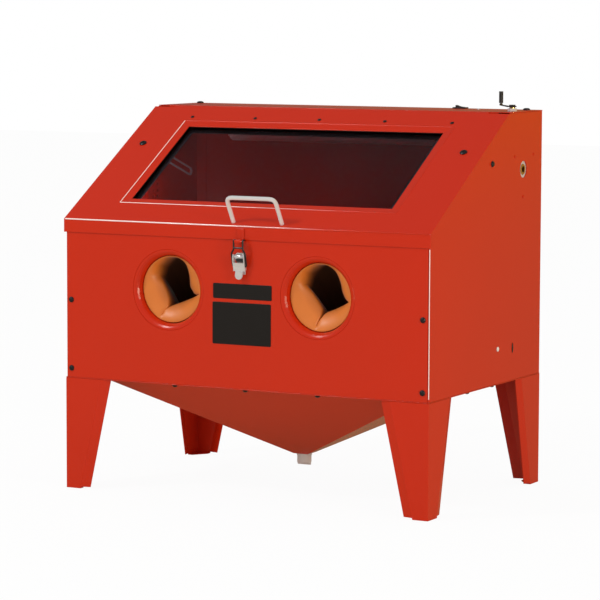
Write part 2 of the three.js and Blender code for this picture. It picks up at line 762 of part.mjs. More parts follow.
function hingeLeaf(plate, ownedByLid) {
  const { own, others } = knuckles(ownedByLid);
  const axis = (x) => [x, hinge.y, hinge.z];
  let leaf = plate;
  for (const [from, to] of others) {
    const room = rod(axis(from - knuckleGap), axis(to + knuckleGap), HINGE_RADIUS + 2 * GAP, 16);
    leaf = leaf.subtract(room);
  }
  for (const [from, to] of own) leaf = leaf.add(rod(axis(from), axis(to), HINGE_RADIUS, 16));
  return leaf.subtract(rod(axis(-HINGE_LENGTH), axis(HINGE_LENGTH), HINGE_BORE, 12));
}

const bodyLeafPlate = box(
  [-HINGE_LENGTH / 2, hinge.y + HINGE_RADIUS - HINGE_SHEET, hinge.z - 20],
  [HINGE_LENGTH / 2, hinge.y + HINGE_RADIUS, hinge.z],
);
plated('hinge_leaf_body', hingeLeaf(bodyLeafPlate, false));

const [hingeReach] = toSlope(hinge.y, hinge.z);
const leafTop = -SHEET - GAP;
const lidLeafPlate = prismX([
  fromSlope(hingeReach - HINGE_LEAF, leafTop),
  fromSlope(hingeReach - HINGE_LEAF, leafTop - HINGE_SHEET),
  fromSlope(hingeReach, leafTop - HINGE_SHEET),
  fromSlope(hingeReach, leafTop),
], -HINGE_LENGTH / 2, HINGE_LENGTH / 2);
plated('hinge_leaf_lid', hingeLeaf(lidLeafPlate, true));
plated('hinge_pin', rod(
  [-HINGE_LENGTH / 2, hinge.y, hinge.z],
  [HINGE_LENGTH / 2, hinge.y, hinge.z],
  HINGE_PIN_RADIUS,
  12,
));

// ---------------------------------------------------------------- lid stays
const [stayPivotY, stayPivotZ] = fromSlope(STAY_LID_REACH, -STAY_PIVOT_DEPTH);
const stayAngle = Math.atan2(STAY_STUD.z - stayPivotZ, STAY_STUD.y - stayPivotY);
const stayPinRadius = 3;
const stayPlate = STAY_PLANE + STAY_THICKNESS; // outer face of the arm

function stayBracket() {
  const top = -SHEET - GAP;
  const webX = stayPlate + GAP;
  const foot = box(
    [webX, STAY_LID_REACH - 11, top - 2],
    [STAY_LID_OFFSET + 9, STAY_LID_REACH + 11, top],
  );
  const web = box(
    [webX, STAY_LID_REACH - 8, -STAY_PIVOT_DEPTH - 6],
    [webX + 2, STAY_LID_REACH + 8, top],
  );
  const pin = rod(
    [STAY_PLANE - GAP - 2, STAY_LID_REACH, -STAY_PIVOT_DEPTH],
    [webX + 1, STAY_LID_REACH, -STAY_PIVOT_DEPTH],
    stayPinRadius,
    16,
  );
  const pinHead = rod(
    [STAY_PLANE - GAP - 2, STAY_LID_REACH, -STAY_PIVOT_DEPTH],
    [STAY_PLANE - GAP, STAY_LID_REACH, -STAY_PIVOT_DEPTH],
    stayPinRadius + 2,
    16,
  );
  return joined([foot, web, pin, pinHead]);
}

// The slotted arm hangs from the lid's pin and runs past the stud on the side panel.
function stayArm() {
  const along = (distance, across) => [
    stayPivotY + distance * Math.cos(stayAngle) - across * Math.sin(stayAngle),
    stayPivotZ + distance * Math.sin(stayAngle) + across * Math.cos(stayAngle),
  ];
  const half = STAY_WIDTH / 2;
  const outline = (start, end, halfAcross, steps) => {
    const points = [];
    for (let i = 0; i <= steps; i += 1) {
      const angle = -Math.PI / 2 + (Math.PI * i) / steps;
      points.push(along(end + halfAcross * Math.cos(angle), halfAcross * Math.sin(angle)));
    }
    for (let i = 0; i <= steps; i += 1) {
      const angle = Math.PI / 2 + (Math.PI * i) / steps;
      points.push(along(start + halfAcross * Math.cos(angle), halfAcross * Math.sin(angle)));
    }
    return points;
  };
  const slotStart = half + STAY_STUD_RADIUS + 4;
  const slotHalf = STAY_STUD_RADIUS + GAP;
  const arm = prismX(outline(0, STAY_LENGTH, half, 6), STAY_PLANE, stayPlate);
  const slot = prismX(
    outline(slotStart, STAY_LENGTH - 2, slotHalf, 6),
    STAY_PLANE - 1,
    stayPlate + 1,
  );
  const hole = rod(
    [STAY_PLANE - 1, stayPivotY, stayPivotZ],
    [stayPlate + 1, stayPivotY, stayPivotZ],
    stayPinRadius + GAP,
    16,
  );
  return arm.subtract(slot).subtract(hole);
}

function stayStud() {
  const at = (x) => [x, STAY_STUD.y, STAY_STUD.z];
  const shank = rod(at(stayPlate + GAP), at(halfWidth + 2), STAY_STUD_RADIUS, 16);
  const collar = rod(at(halfWidth - SHEET - GAP - 4), at(halfWidth - SHEET - GAP), 7, 6);
  const head = rod(at(halfWidth + GAP), at(halfWidth + 3), 5.5, 16, 3.5);
  return joined([shank, collar, head]);
}

for (const [side, solid] of [['right', (part) => part], ['left', (part) => mirrored(part, 0)]]) {
  plated(`stay_bracket_${side}`, solid(stayBracket()), lid);
  plated(`stay_arm_${side}`, solid(stayArm()));
  black(`stay_stud_${side}`, solid(stayStud()));
}

// ---------------------------------------------------------------- draw latch
// Outlines are [out from the front panel, z] and are laid out towards -Y.
function latchPrism(points, from, to) {
  const outline = points.map(([out, z]) => [front - out, z]).reverse();
  return prismX(outline, from, to);
}

const earX = 8;
const cheekX = 9.8;
const latchSheet = 1.2;
const latchPinRadius = 1.6;
const pivotZ = LATCH_PIVOT.z;

function latchBase() {
  const plate = latchPrism([
    [GAP, pivotZ - 30], [GAP + latchSheet, pivotZ - 30], [GAP + latchSheet, pivotZ + 6],
    [GAP, pivotZ + 6],
  ], -earX, earX);
  const ear = [
    [GAP, pivotZ - 12], [LATCH_PIVOT.out, LATCH_PIVOT.z - 4], [LATCH_PIVOT.out + 3, LATCH_PIVOT.z],
    [LATCH_PIVOT.out, LATCH_PIVOT.z + 4], [GAP, pivotZ + 6],
  ];
  const ears = [-1, 1].map((side) => {
    const faces = [side * earX, side * (earX - latchSheet)].sort((a, b) => a - b);
    return latchPrism(ear, ...faces);
  });
  const pinEnd = cheekX + latchSheet;
  const pin = rod(
    [-pinEnd, front - LATCH_PIVOT.out, LATCH_PIVOT.z],
    [pinEnd, front - LATCH_PIVOT.out, LATCH_PIVOT.z],
    latchPinRadius,
    12,
  );
  return joined([plate, ...ears, pin]);
}
plated('latch_base', latchBase());

function latchLever() {
  const cheek = [
    [LATCH_PIVOT.out - 4, pivotZ + 3], [4, pivotZ - 22], [8, pivotZ - 24], [13, pivotZ - 4],
    [LATCH_PIVOT.out + 4, LATCH_PIVOT.z + 4],
  ];
  const cheeks = [-1, 1].map((side) => {
    const faces = [side * cheekX, side * (cheekX + latchSheet)].sort((a, b) => a - b);
    return latchPrism(cheek, ...faces);
  });
  // The web stops well below the pivot, so it clears the ears when the lever is thrown up.
  const web = latchPrism([
    [10.1, pivotZ - 10], [7.2, pivotZ - 22], [9.4, pivotZ - 33], [10.6, pivotZ - 33],
    [8.6, pivotZ - 22], [11.5, pivotZ - 10],
  ], -cheekX - latchSheet, cheekX + latchSheet);
  const tabZ = pivotZ - 31;
  const tabEnd = rod([0, front - 9.2, tabZ], [0, front - 10.4, tabZ], 7, 20);
  const tabTrim = joined([-1, 1].map((side) => {
    const faces = [side * 7, side * 20].sort((a, b) => a - b);
    return box([faces[0], front - 20, tabZ - 12], [faces[1], front, tabZ + 7]);
  }));
  const across = (pivot, radius) => rod(
    [-20, front - pivot.out, pivot.z],
    [20, front - pivot.out, pivot.z],
    radius + GAP,
    12,
  );
  return joined([web.subtract(tabTrim), ...cheeks, tabEnd])
    .subtract(across(LATCH_PIVOT, latchPinRadius))
    .subtract(across(LATCH_BAIL_PIVOT, LATCH_WIRE));
}
plated('latch_lever', latchLever());

function latchBail() {
  const outer = cheekX + latchSheet + GAP + LATCH_WIRE;
  const wire = (side) => bentRod([
    [side * (cheekX - 2), front - LATCH_BAIL_PIVOT.out, LATCH_BAIL_PIVOT.z],
    [side * outer, front - LATCH_BAIL_PIVOT.out, LATCH_BAIL_PIVOT.z],
    [side * outer, front - LATCH_REACH, LATCH_PIVOT.z + 6],
    [side * LATCH_HOOK_OFFSET, front - LATCH_REACH, LATCH_PIVOT.z + 12],
    [side * LATCH_HOOK_OFFSET, front - LATCH_REACH, LATCH_HOOK_HEIGHT + 3],
    [side * LATCH_HOOK_OFFSET, front - LATCH_REACH + 6, LATCH_HOOK_HEIGHT + 3],
  ], LATCH_WIRE, 2.4, 8);
  const cross = rod(
    [-LATCH_HOOK_OFFSET, front - LATCH_REACH, LATCH_PIVOT.z + 15],
    [LATCH_HOOK_OFFSET, front - LATCH_REACH, LATCH_PIVOT.z + 15],
    LATCH_WIRE,
    8,
  );
  return joined([wire(-1), wire(1), cross]);
}
plated('latch_bail', latchBail());

// The keeper's tongue lies between the bail's hooks; it is welded to the lid's lip.
function latchKeeper() {
  const half = LATCH_HOOK_OFFSET - LATCH_WIRE - GAP;
  const lip = LID_OVERHANG + GAP;
  const low = FRONT_HEIGHT - LID_LIP - 4;
  const outline = [
    [lip, FRONT_HEIGHT - 4], [lip, low], [LATCH_REACH + 2, low], [LATCH_REACH + 2, low + 5],
    [LATCH_REACH + 0.5, low + 5], [LATCH_REACH + 0.5, low + SHEET], [lip + SHEET, low + SHEET],
    [lip + SHEET, FRONT_HEIGHT - 4],
  ];
  return prismX(outline.map(([out, z]) => [front - out, z]), -half, half);
}
painted('latch_keeper', latchKeeper());

// ---------------------------------------------------------------- gloves
function sleeve(radius, endRadius, x, frontEnd) {
  const elbow = [x, front + PORT_COLLAR_DEPTH + 6, PORT_HEIGHT];
  const floor = GRATE_HEIGHT + GRATE_THICKNESS + SLEEVE_REST;
  const end = [x, elbow[1] + SLEEVE_REACH, floor + SLEEVE_END_RADIUS];
  const behind = box([x - 200, elbow[1] - 1, 0], [x + 200, back, HEIGHT]);
  return joined([
    rod([x, frontEnd, PORT_HEIGHT], elbow, radius, PORT_SIDES),
    ball(elbow, radius, 24).intersect(behind),
    rod(elbow, end, radius, 24, endRadius).intersect(behind),
    ball(end, endRadius, 20),
  ]);
}

for (const [name, side] of [['left', -1], ['right', 1]]) {
  const x = (side * PORT_SPACING) / 2;
  const inside = PORT_BORE_RADIUS + SHEET + GAP;
  const cuffFront = front + PORT_FLARE_DEPTH + SHEET + 2;
  const outer = sleeve(inside + GLOVE_WALL, SLEEVE_END_RADIUS, x, cuffFront);
  const inner = sleeve(inside, SLEEVE_END_RADIUS - GLOVE_WALL, x, cuffFront - 10);
  // The glove's mouth is turned in over the collar's rear edge and lines the bore.
  const liningOutside = PORT_BORE_RADIUS - GAP;
  const liningInside = liningOutside - GLOVE_LINING;
  const collarEnd = PORT_COLLAR_DEPTH + GAP;
  const lining = ring(liningInside, liningOutside, cuffFront - front, collarEnd + GLOVE_WALL,
    [x, front, PORT_HEIGHT], [0, 1, 0], PORT_SIDES);
  const turnedEdge = ring(liningInside, inside + GLOVE_WALL / 2, collarEnd,
    collarEnd + GLOVE_WALL, [x, front, PORT_HEIGHT], [0, 1, 0], PORT_SIDES);
  const glove = joined([outer.subtract(inner), lining, turnedEdge]);
  add(`glove_${name}`, glove, 0xc8773a, 0.85, 0);
  const bandInside = inside + GLOVE_WALL + GAP;
  const band = ring(bandInside, bandInside + 1.2, 0, CLAMP_WIDTH,
    [x, cuffFront + 3, PORT_HEIGHT], [0, 1, 0], PORT_SIDES);
  const worm = box(
    [x - 8, cuffFront + 3, PORT_HEIGHT + bandInside + 0.6],
    [x + 8, cuffFront + 3 + CLAMP_WIDTH, PORT_HEIGHT + bandInside + 8],
  );
  plated(`glove_clamp_${name}`, band.add(worm));
}

// ---------------------------------------------------------------- work floor
function grate() {
  const low = GRATE_HEIGHT;
  const high = GRATE_HEIGHT + GRATE_THICKNESS;
  let sheet = box([-GRATE_HALF.x, -GRATE_HALF.y, low], [GRATE_HALF.x, GRATE_HALF.y, high]);
  const { across, deep, rib } = GRATE_SLOTS;
  const pitchX = (2 * GRATE_HALF.x - rib) / across;
  const pitchY = (2 * GRATE_HALF.y - rib) / deep;
  for (let i = 0; i < across; i += 1) {
    for (let j = 0; j < deep; j += 1) {
      const x = -GRATE_HALF.x + rib + i * pitchX;
      const y = -GRATE_HALF.y + rib + j * pitchY;
      sheet = sheet.subtract(box([x, y, low - 1], [x + pitchX - rib, y + pitchY - rib, high + 1]));
    }
  }
  return sheet;
}
plated('work_grate', grate());

for (const [name, side] of [['left', -1], ['right', 1]]) {
  const wall = halfWidth - SHEET - GAP;
  const top = GRATE_HEIGHT - GAP;
  const outline = [
    [GRATE_HALF.x - 18, top - SHEET], [wall - SHEET, top - SHEET], [wall - SHEET, top - 12],
    [wall, top - 12], [wall, top], [GRATE_HALF.x - 18, top],
  ];
  const rail = prismY(outline, -GRATE_HALF.y, GRATE_HALF.y);
  painted(`grate_rail_${name}`, side > 0 ? rail : mirrored(rail, 0));
}

// ---------------------------------------------------------------- lamp
const LAMP = { halfX: 230, y: 160, halfY: 24, top: 26, drop: 30 };
function lampHousing() {
  const low = HEIGHT - LAMP.top - LAMP.drop;
  const high = HEIGHT - LAMP.top;
  const whole = box(
    [-LAMP.halfX, LAMP.y - LAMP.halfY, low],
    [LAMP.halfX, LAMP.y + LAMP.halfY, high],
  );
  const hollow = box(
    [2 - LAMP.halfX, LAMP.y - LAMP.halfY + 2, low - 1],
    [LAMP.halfX - 2, LAMP.y + LAMP.halfY - 2, high - 2],
  );
  const feet = [-1, 1].map((side) => box(
    [side * 160 - 12, LAMP.y - 12, high - 1],
    [side * 160 + 12, LAMP.y + 12, HEIGHT - SHEET - GAP],
  ));
  return joined([whole.subtract(hollow), ...feet]);
}
add('lamp_housing', lampHousing(), 0xe4e2dc, 0.4, 0);
const lampLow = HEIGHT - LAMP.top - LAMP.drop;
add('lamp_lens', prismX([
  [LAMP.y - LAMP.halfY + 2 + GAP, lampLow + 4], [LAMP.y - LAMP.halfY + 2 + GAP, lampLow - 3],
  [LAMP.y - 12, lampLow - 9], [LAMP.y + 12, lampLow - 9],
  [LAMP.y + LAMP.halfY - 2 - GAP, lampLow - 3], [LAMP.y + LAMP.halfY - 2 - GAP, lampLow + 4],
], 2 + GAP - LAMP.halfX, LAMP.halfX - 2 - GAP), 0xeef0ee, 0.5, 0);

function switchBody() {
  const { x, y, halfX, halfY, depth } = SWITCH;
  const bezel = box(
    [x - halfX - 2, y - halfY - 2, HEIGHT + GAP],
    [x + halfX + 2, y + halfY + 2, HEIGHT + GAP + 2],
  );
  const body = box([x - halfX, y - halfY, HEIGHT - depth], [x + halfX, y + halfY, HEIGHT + 1]);
  const pocket = box([x - 9, y - 5, HEIGHT - 7], [x + 9, y + 5, HEIGHT + 5]);
  return bezel.add(body).subtract(pocket);
}
black('lamp_switch_body', switchBody());
black('lamp_switch_rocker', prismY([
  [SWITCH.x - 7.6, HEIGHT - 2], [SWITCH.x + 7.6, HEIGHT - 2], [SWITCH.x + 7.6, HEIGHT + 2.6],
  [SWITCH.x, HEIGHT + 3.4], [SWITCH.x - 7.6, HEIGHT + 6],
], SWITCH.y - 4.7, SWITCH.y + 4.7));

function cableGland() {
  const at = (y) => [GLAND.x, y, GLAND.z];
  const thread = rod(at(back - 10), at(back + 2), GLAND.thread, 20);
  const nut = rod(at(back + GAP), at(back + 5), GLAND.nut, 6);
  const dome = rod(at(back + 4), at(back + GLAND.reach), GLAND.nut - 2, 20, GLAND.thread);
  const bore = rod(at(back - 20), at(back + GLAND.reach + 5), GLAND.bore, 12);
  return joined([thread, nut, dome]).subtract(bore);
}
black('cable_gland', cableGland());

// ---------------------------------------------------------------- air supply
const wallInside = halfWidth - SHEET - GAP;
const inletAt = (x) => [x, INLET.y, INLET.z];
const riserX = WIDTH / 2 - 22.5;
plated('inlet_plate', ring(9.8, 54, -2.5, 0, inletAt(wallInside), [1, 0, 0], 32));
function inletFitting() {
  const hex = rod(inletAt(318), inletAt(wallInside - 3), 11.5, 6);
  const socket = rod(inletAt(330), inletAt(wallInside + 1), 9.4, 24);
  const elbow = rod([riserX, INLET.y, INLET.z], [riserX, INLET.y, INLET.z + 17], 6.5, 16);
  const bore = rod(inletAt(331), inletAt(wallInside + 5), 5.5, 16);
  return joined([hex.intersect(box([318, 0, 400], [340, back, 700])), socket, elbow])
    .subtract(bore);
}
brass('inlet_fitting', inletFitting());
brass('riser_pipe', bentRod([
  [riserX, INLET.y, INLET.z + 17.3], [riserX, INLET.y, HEIGHT - 62],
  [VALVE.x, VALVE.y, HEIGHT - 49], [VALVE.x, VALVE.y, HEIGHT - 29.3],
], 4.5, 7, 12));

const valveAt = (z) => [VALVE.x, VALVE.y, z];
brass('valve_body', joined([
  rod(valveAt(HEIGHT - 29), valveAt(HEIGHT - 6), VALVE.body, 24),
  rod(valveAt(HEIGHT - 7), valveAt(HEIGHT + 7), VALVE.stem, 20),
]));
plated('valve_nut', rod(valveAt(HEIGHT + GAP), valveAt(HEIGHT + 5), 8, 6)
  .subtract(rod(valveAt(HEIGHT - 5), valveAt(HEIGHT + 9), VALVE.stem + GAP, 20)));

function valveLever() {
  const low = HEIGHT + 7 + GAP;
  const half = 5;
  const strip = prismY([
    [VALVE.x + 6, low], [VALVE.x + 6, low + 2], [VALVE.x - 7, low + 2],
    [VALVE_GRIP.x + 1, VALVE_GRIP.low - 1], [VALVE_GRIP.x + 1, VALVE_GRIP.high - 4],
    [VALVE_GRIP.x - 1, VALVE_GRIP.high - 4], [VALVE_GRIP.x - 1, VALVE_GRIP.low - 2],
    [VALVE.x - 7, low],
  ], VALVE.y - half, VALVE.y + half);
  const upright = box(
    [VALVE_GRIP.x - 5, VALVE.y - 2, VALVE_GRIP.low + 1],
    [VALVE_GRIP.x + 5, VALVE.y + 2, VALVE_GRIP.high],
  );
  const trim = box(
    [VALVE_GRIP.x - 5, VALVE.y - 8, VALVE_GRIP.low + 1],
    [VALVE_GRIP.x + 5, VALVE.y + 8, VALVE_GRIP.high],
  ).subtract(upright);
  return strip.subtract(trim).add(rod(valveAt(low), valveAt(low + 4), 5.5, 20));
}
plated('valve_lever', valveLever());
function valveGrip() {
  const at = (z) => [VALVE_GRIP.x, VALVE.y, z];
  const sleeveBody = rod(at(VALVE_GRIP.low + 2), at(VALVE_GRIP.high), VALVE_GRIP.radius, 16);
  const pocket = box(
    [VALVE_GRIP.x - 1 - GAP, VALVE.y - 2 - GAP, VALVE_GRIP.low],
    [VALVE_GRIP.x + 1 + GAP, VALVE.y + 2 + GAP, VALVE_GRIP.high - 4 + GAP],
  );
  return sleeveBody.subtract(pocket);
}
black('valve_grip', valveGrip());

// ---------------------------------------------------------------- blast gun and pickup
// The gun lies on its side on the grate; outlines are seen from above.
const GUN = { x: 20, y: 70, low: GRATE_HEIGHT + GRATE_THICKNESS + GAP, thick: 30 };
const gunAt = (points) => points.map(([x, y]) => [GUN.x + x, GUN.y + y]);
function gunBody() {
  const low = GUN.low;
  const high = GUN.low + GUN.thick;
  const frame = prismZ(gunAt([
    [-70, -15], [28, -15], [40, -8], [42, 12], [66, 92], [36, 100], [12, 26], [-10, 16],
    [-70, 15],
  ]), low, high);
  const triggerRoom = prismZ(gunAt([[-34, 5], [12, 5], [12, 40], [-34, 40]]), low + 9, high - 9);
  const barrel = rod(
    [GUN.x - 70.5, GUN.y, low + 15], [GUN.x - 60, GUN.y, low + 15], 11, 20,
  );
  const airTail = rod(
    [GUN.x + 50, GUN.y + 92, low + 15], [GUN.x + 56, GUN.y + 112, low + 15], 6, 16,
  );
  return joined([frame, barrel, airTail]).subtract(triggerRoom);
}
add('gun_body', gunBody(), 0x8f9397, 0.45, 1);
add('gun_nozzle', turned([
  [4, 0], [9, 0], [9, 6], [11, 8], [11, 34], [4, 34], [4, 0],
], [GUN.x - 70.5 - GAP - 34, GUN.y, GUN.low + 15], [1, 0, 0], 20), 0xd8d4cc, 0.6, 0);
black('gun_trigger', prismZ(gunAt([
  [-26, 6.4], [-18, 6.4], [-8, 20], [0, 44], [-6, 47], [-16, 26], [-26, 15],
]), GUN.low + 10, GUN.low + GUN.thick - 10));

function pickupTube() {
  const from = [-26, 12, 84];
  const to = [-150, 70, 196];
  const along = to.map((value, i) => value - from[i]);
  const beyond = (point, share) => point.map((value, i) => value + share * along[i]);
  return rod(from, to, 9, 20).subtract(rod(beyond(from, -0.1), beyond(to, 0.1), 7, 20));
}
plated('pickup_tube', pickupTube());

// A perforated baffle stands off the left wall over the air vent.
function ventBaffle() {
  const inner = 14 - halfWidth;
  const low = [inner, 24, 470];
  const high = [inner + SHEET, 78, 566];
  let plate = box(low, high);
  plate = plate.add(box([1.8 - halfWidth, 24, 470], [inner + 1, 24 + SHEET, 566]));
  plate = plate.add(box([1.8 - halfWidth, 78 - SHEET, 470], [inner + 1, 78, 566]));
  for (let row = 0; row < 8; row += 1) {
    for (const y of [44, 58]) {
      const z = 480 + row * 11;
      plate = plate.subtract(rod([inner - 2, y, z], [inner + 4, y, z], 3.4, 8));
    }
  }
  return plate;
}
painted('vent_baffle', ventBaffle());

// The origin is on the floor, under the middle of everything, handle and gland included.
const bounds = new THREE.Box3().setFromObject(cabinet, true);
cabinet.position.y = -(bounds.min.y + bounds.max.y) / 2;
cabinet.position.x = -(bounds.min.x + bounds.max.x) / 2;

export default cabinet;
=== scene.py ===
# %% [markdown]
# # A bench sandblast cabinet
# A sandblast cabinet is a booth folded from thin steel sheet. The operator lifts the
# sloping lid, lays a workpiece on the grate, shuts the lid, pushes both arms into the
# gloves and looks in through the window. Blasting grit falls into the hopper below.
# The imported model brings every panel, hinge and fitting at its real size, so this script
# gives them softened folds and finishes, and adds the pieces that are best made by hand
# in Blender: gloves, screw heads, rivets and blank plates.

# %% The frame
import json
import math

import bpy
from mathutils import Matrix, Vector


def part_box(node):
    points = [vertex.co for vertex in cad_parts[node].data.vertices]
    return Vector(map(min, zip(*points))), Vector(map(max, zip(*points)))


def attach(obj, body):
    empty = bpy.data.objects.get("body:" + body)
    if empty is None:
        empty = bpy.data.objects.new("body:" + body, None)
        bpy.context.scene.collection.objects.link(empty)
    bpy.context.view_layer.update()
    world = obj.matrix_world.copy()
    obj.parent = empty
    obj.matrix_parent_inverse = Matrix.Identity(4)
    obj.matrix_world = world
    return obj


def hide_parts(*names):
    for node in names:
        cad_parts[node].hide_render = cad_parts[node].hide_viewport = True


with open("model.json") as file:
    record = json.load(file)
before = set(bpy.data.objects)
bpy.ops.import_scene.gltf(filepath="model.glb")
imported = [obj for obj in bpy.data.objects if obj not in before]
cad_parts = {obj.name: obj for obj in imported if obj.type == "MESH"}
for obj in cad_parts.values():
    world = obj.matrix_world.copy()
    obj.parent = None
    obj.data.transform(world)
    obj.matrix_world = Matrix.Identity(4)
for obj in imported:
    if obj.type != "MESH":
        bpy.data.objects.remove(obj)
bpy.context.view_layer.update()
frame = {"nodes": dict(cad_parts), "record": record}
bodies = frame["record"]["behaviour"]["bodies"]
body_of = {node: body for body, nodes in bodies.items() for node in nodes}
print("CAD nodes:", len(body_of), "bodies:", len(bodies))

# %% [markdown]
# ## Places that everything is measured from
# All lengths are in metres. The front face looks towards -Y and the lid slopes up and
# back from its front bend. Reading the panels' boxes from the frame keeps every screw
# and plate where the steel really is.

# %% Measured places
front_low, front_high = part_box("front_panel")
side_low, side_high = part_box("side_panel_right")
top_low, top_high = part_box("top_panel")
hopper_low, hopper_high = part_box("hopper")
FRONT_Y = front_low[1]
SIDE_X = side_high[0]
TOP_Z = top_high[2]
MIDDLE_Y = (hopper_low[1] + hopper_high[1]) / 2

LID_OVERHANG = 0.002
LID_BEND_Z = 0.469
CREASE_BACK = 0.311
LID_BEND = Vector((0.0, FRONT_Y - LID_OVERHANG, LID_BEND_Z))
LID_CREASE = Vector((0.0, FRONT_Y + CREASE_BACK, TOP_Z))
UPHILL = (LID_CREASE - LID_BEND).normalized()
OUTWARD = Vector((1, 0, 0)).cross(UPHILL)
print("lid slope, degrees:", round(math.degrees(math.asin(UPHILL.z)), 2))


def on_lid(x, up, out=0.0):
    """A point on the lid's skin: x across, up the slope from the bend, out of the skin."""
    return LID_BEND + Vector((x, 0, 0)) + UPHILL * up + OUTWARD * out


# %% [markdown]
# ## The camera
# A long lens from a little right of the front and just above keeps the uprights nearly
# parallel. The camera is made first, before any piece.

# %% Camera
CAMERA_PLACE = (2.31799, -4.39386, 0.82949)
CAMERA_YAW = math.radians(27.89)
CAMERA_PITCH = math.radians(5.795)
CAMERA_ROLL = math.radians(0.2)

camera_data = bpy.data.cameras.new("studio_camera")
camera_data.lens = 172.0
camera_data.sensor_width = 36.0
camera = bpy.data.objects.new("studio_camera", camera_data)
bpy.context.scene.collection.objects.link(camera)
ahead = Vector((
    -math.sin(CAMERA_YAW) * math.cos(CAMERA_PITCH),
    math.cos(CAMERA_YAW) * math.cos(CAMERA_PITCH),
    -math.sin(CAMERA_PITCH),
))
level_right = Vector((math.cos(CAMERA_YAW), math.sin(CAMERA_YAW), 0))
level_up = level_right.cross(ahead)
right = level_right * math.cos(CAMERA_ROLL) + level_up * math.sin(CAMERA_ROLL)
up = right.cross(ahead)
turn = Matrix((right, up, -ahead)).transposed()
camera.rotation_euler = turn.to_euler()
camera.location = CAMERA_PLACE
bpy.context.scene.camera = camera
print("camera turned to", [round(math.degrees(a), 2) for a in camera.rotation_euler])

# %% [markdown]
# ## Light and floor
# Glossy paint shows the room around it, so the room matters as much as the lamps. A pale
# world lights every side evenly, but mirrored rays see a dimmer room that is warm behind
# the right side, which keeps the red deep. One soft lamp stands front left, one lifts the
# side panel from the right, and a small one glows inside the booth at the left. The floor
# is white and keeps the cabinet's faint shadow.

# %% World
scene = bpy.context.scene
scene.view_settings.view_transform = "Standard"
world = bpy.data.worlds.new("pale_studio")
scene.world = world
world.use_nodes = True
tree = world.node_tree
tree.nodes.clear()
world_out = tree.nodes.new("ShaderNodeOutputWorld")
seen = tree.nodes.new("ShaderNodeBackground")
seen.inputs["Color"].default_value = (1.0, 1.0, 1.0, 1)
seen.inputs["Strength"].default_value = 1.0
lit = tree.nodes.new("ShaderNodeBackground")
lit.inputs["Color"].default_value = (1.0, 0.99, 0.97, 1)
lit.inputs["Strength"].default_value = 0.74
room = tree.nodes.new("ShaderNodeBackground")
direction = tree.nodes.new("ShaderNodeTexCoord")
towards = tree.nodes.new("ShaderNodeVectorMath")
towards.operation = "DOT_PRODUCT"
towards.inputs[1].default_value = (0.47, 0.88, -0.1)
warm = tree.nodes.new("ShaderNodeValToRGB")
warm.color_ramp.elements[0].position = 0.45
warm.color_ramp.elements[0].color = (0.13, 0.13, 0.13, 1)
warm.color_ramp.elements[1].position = 0.95
warm.color_ramp.elements[1].color = (0.60, 0.34, 0.03, 1)
tree.links.new(direction.outputs["Generated"], towards.inputs[0])
tree.links.new(towards.outputs["Value"], warm.inputs["Fac"])
tree.links.new(warm.outputs["Color"], room.inputs["Color"])
paths = tree.nodes.new("ShaderNodeLightPath")
mirrored = tree.nodes.new("ShaderNodeMixShader")
tree.links.new(paths.outputs["Is Glossy Ray"], mirrored.inputs["Fac"])
tree.links.new(lit.outputs[0], mirrored.inputs[1])
tree.links.new(room.outputs[0], mirrored.inputs[2])
direct = tree.nodes.new("ShaderNodeMath")
direct.operation = "MAXIMUM"
mix = tree.nodes.new("ShaderNodeMixShader")
tree.links.new(paths.outputs["Is Camera Ray"], direct.inputs[0])
tree.links.new(paths.outputs["Is Transmission Ray"], direct.inputs[1])
tree.links.new(direct.outputs[0], mix.inputs["Fac"])
tree.links.new(mirrored.outputs[0], mix.inputs[1])
tree.links.new(seen.outputs[0], mix.inputs[2])
tree.links.new(mix.outputs[0], world_out.inputs["Surface"])

# %% Lamps


def soft_lamp(name, place, aim, size, power, colour=(1, 1, 1)):
    """A square area lamp at a place, pointed at another place."""
    data = bpy.data.lights.new(name, "AREA")
    data.size = size
    data.energy = power
    data.color = colour
    lamp = bpy.data.objects.new(name, data)
    scene.collection.objects.link(lamp)
    lamp.location = place
    lamp.rotation_euler = (Vector(aim) - Vector(place)).to_track_quat("-Z", "Y").to_euler()
    return lamp


soft_lamp("key_front_left", (-1.7, -2.3, 2.7), (0, 0, 0.4), 0.45, 42)
soft_lamp("window_glow", (-0.20, -0.12, 0.435), (-0.3475, -0.12, 0.45), 0.10, 0.55)
soft_lamp("fill_right", (3.2, -1.5, 0.75), (0.3, 0, 0.4), 0.6, 34, (1.0, 0.84, 0.62))

# %% Floor
bpy.ops.mesh.primitive_plane_add(size=24, location=(0, 0, 0))
floor = bpy.context.active_object
floor.name = "studio_floor"
floor_finish = bpy.data.materials.new("studio_white")
floor_finish.use_nodes = True
tree = floor_finish.node_tree
tree.nodes.clear()
floor_out = tree.nodes.new("ShaderNodeOutputMaterial")
matt = tree.nodes.new("ShaderNodeBsdfDiffuse")
matt.inputs["Color"].default_value = (0.80, 0.80, 0.80, 1)
bright = tree.nodes.new("ShaderNodeEmission")
bright.inputs["Color"].default_value = (1, 1, 1, 1)
bright.inputs["Strength"].default_value = 1.0
paths = tree.nodes.new("ShaderNodeLightPath")
share = tree.nodes.new("ShaderNodeMath")
share.operation = "MULTIPLY"
share.inputs[1].default_value = 0.95
mix = tree.nodes.new("ShaderNodeMixShader")
dim = tree.nodes.new("ShaderNodeEmission")
dim.inputs["Color"].default_value = (0.34, 0.23, 0.12, 1)
mirrored = tree.nodes.new("ShaderNodeMixShader")
tree.links.new(paths.outputs["Is Glossy Ray"], mirrored.inputs["Fac"])
tree.links.new(matt.outputs[0], mirrored.inputs[1])
tree.links.new(dim.outputs[0], mirrored.inputs[2])
tree.links.new(paths.outputs["Is Camera Ray"], share.inputs[0])
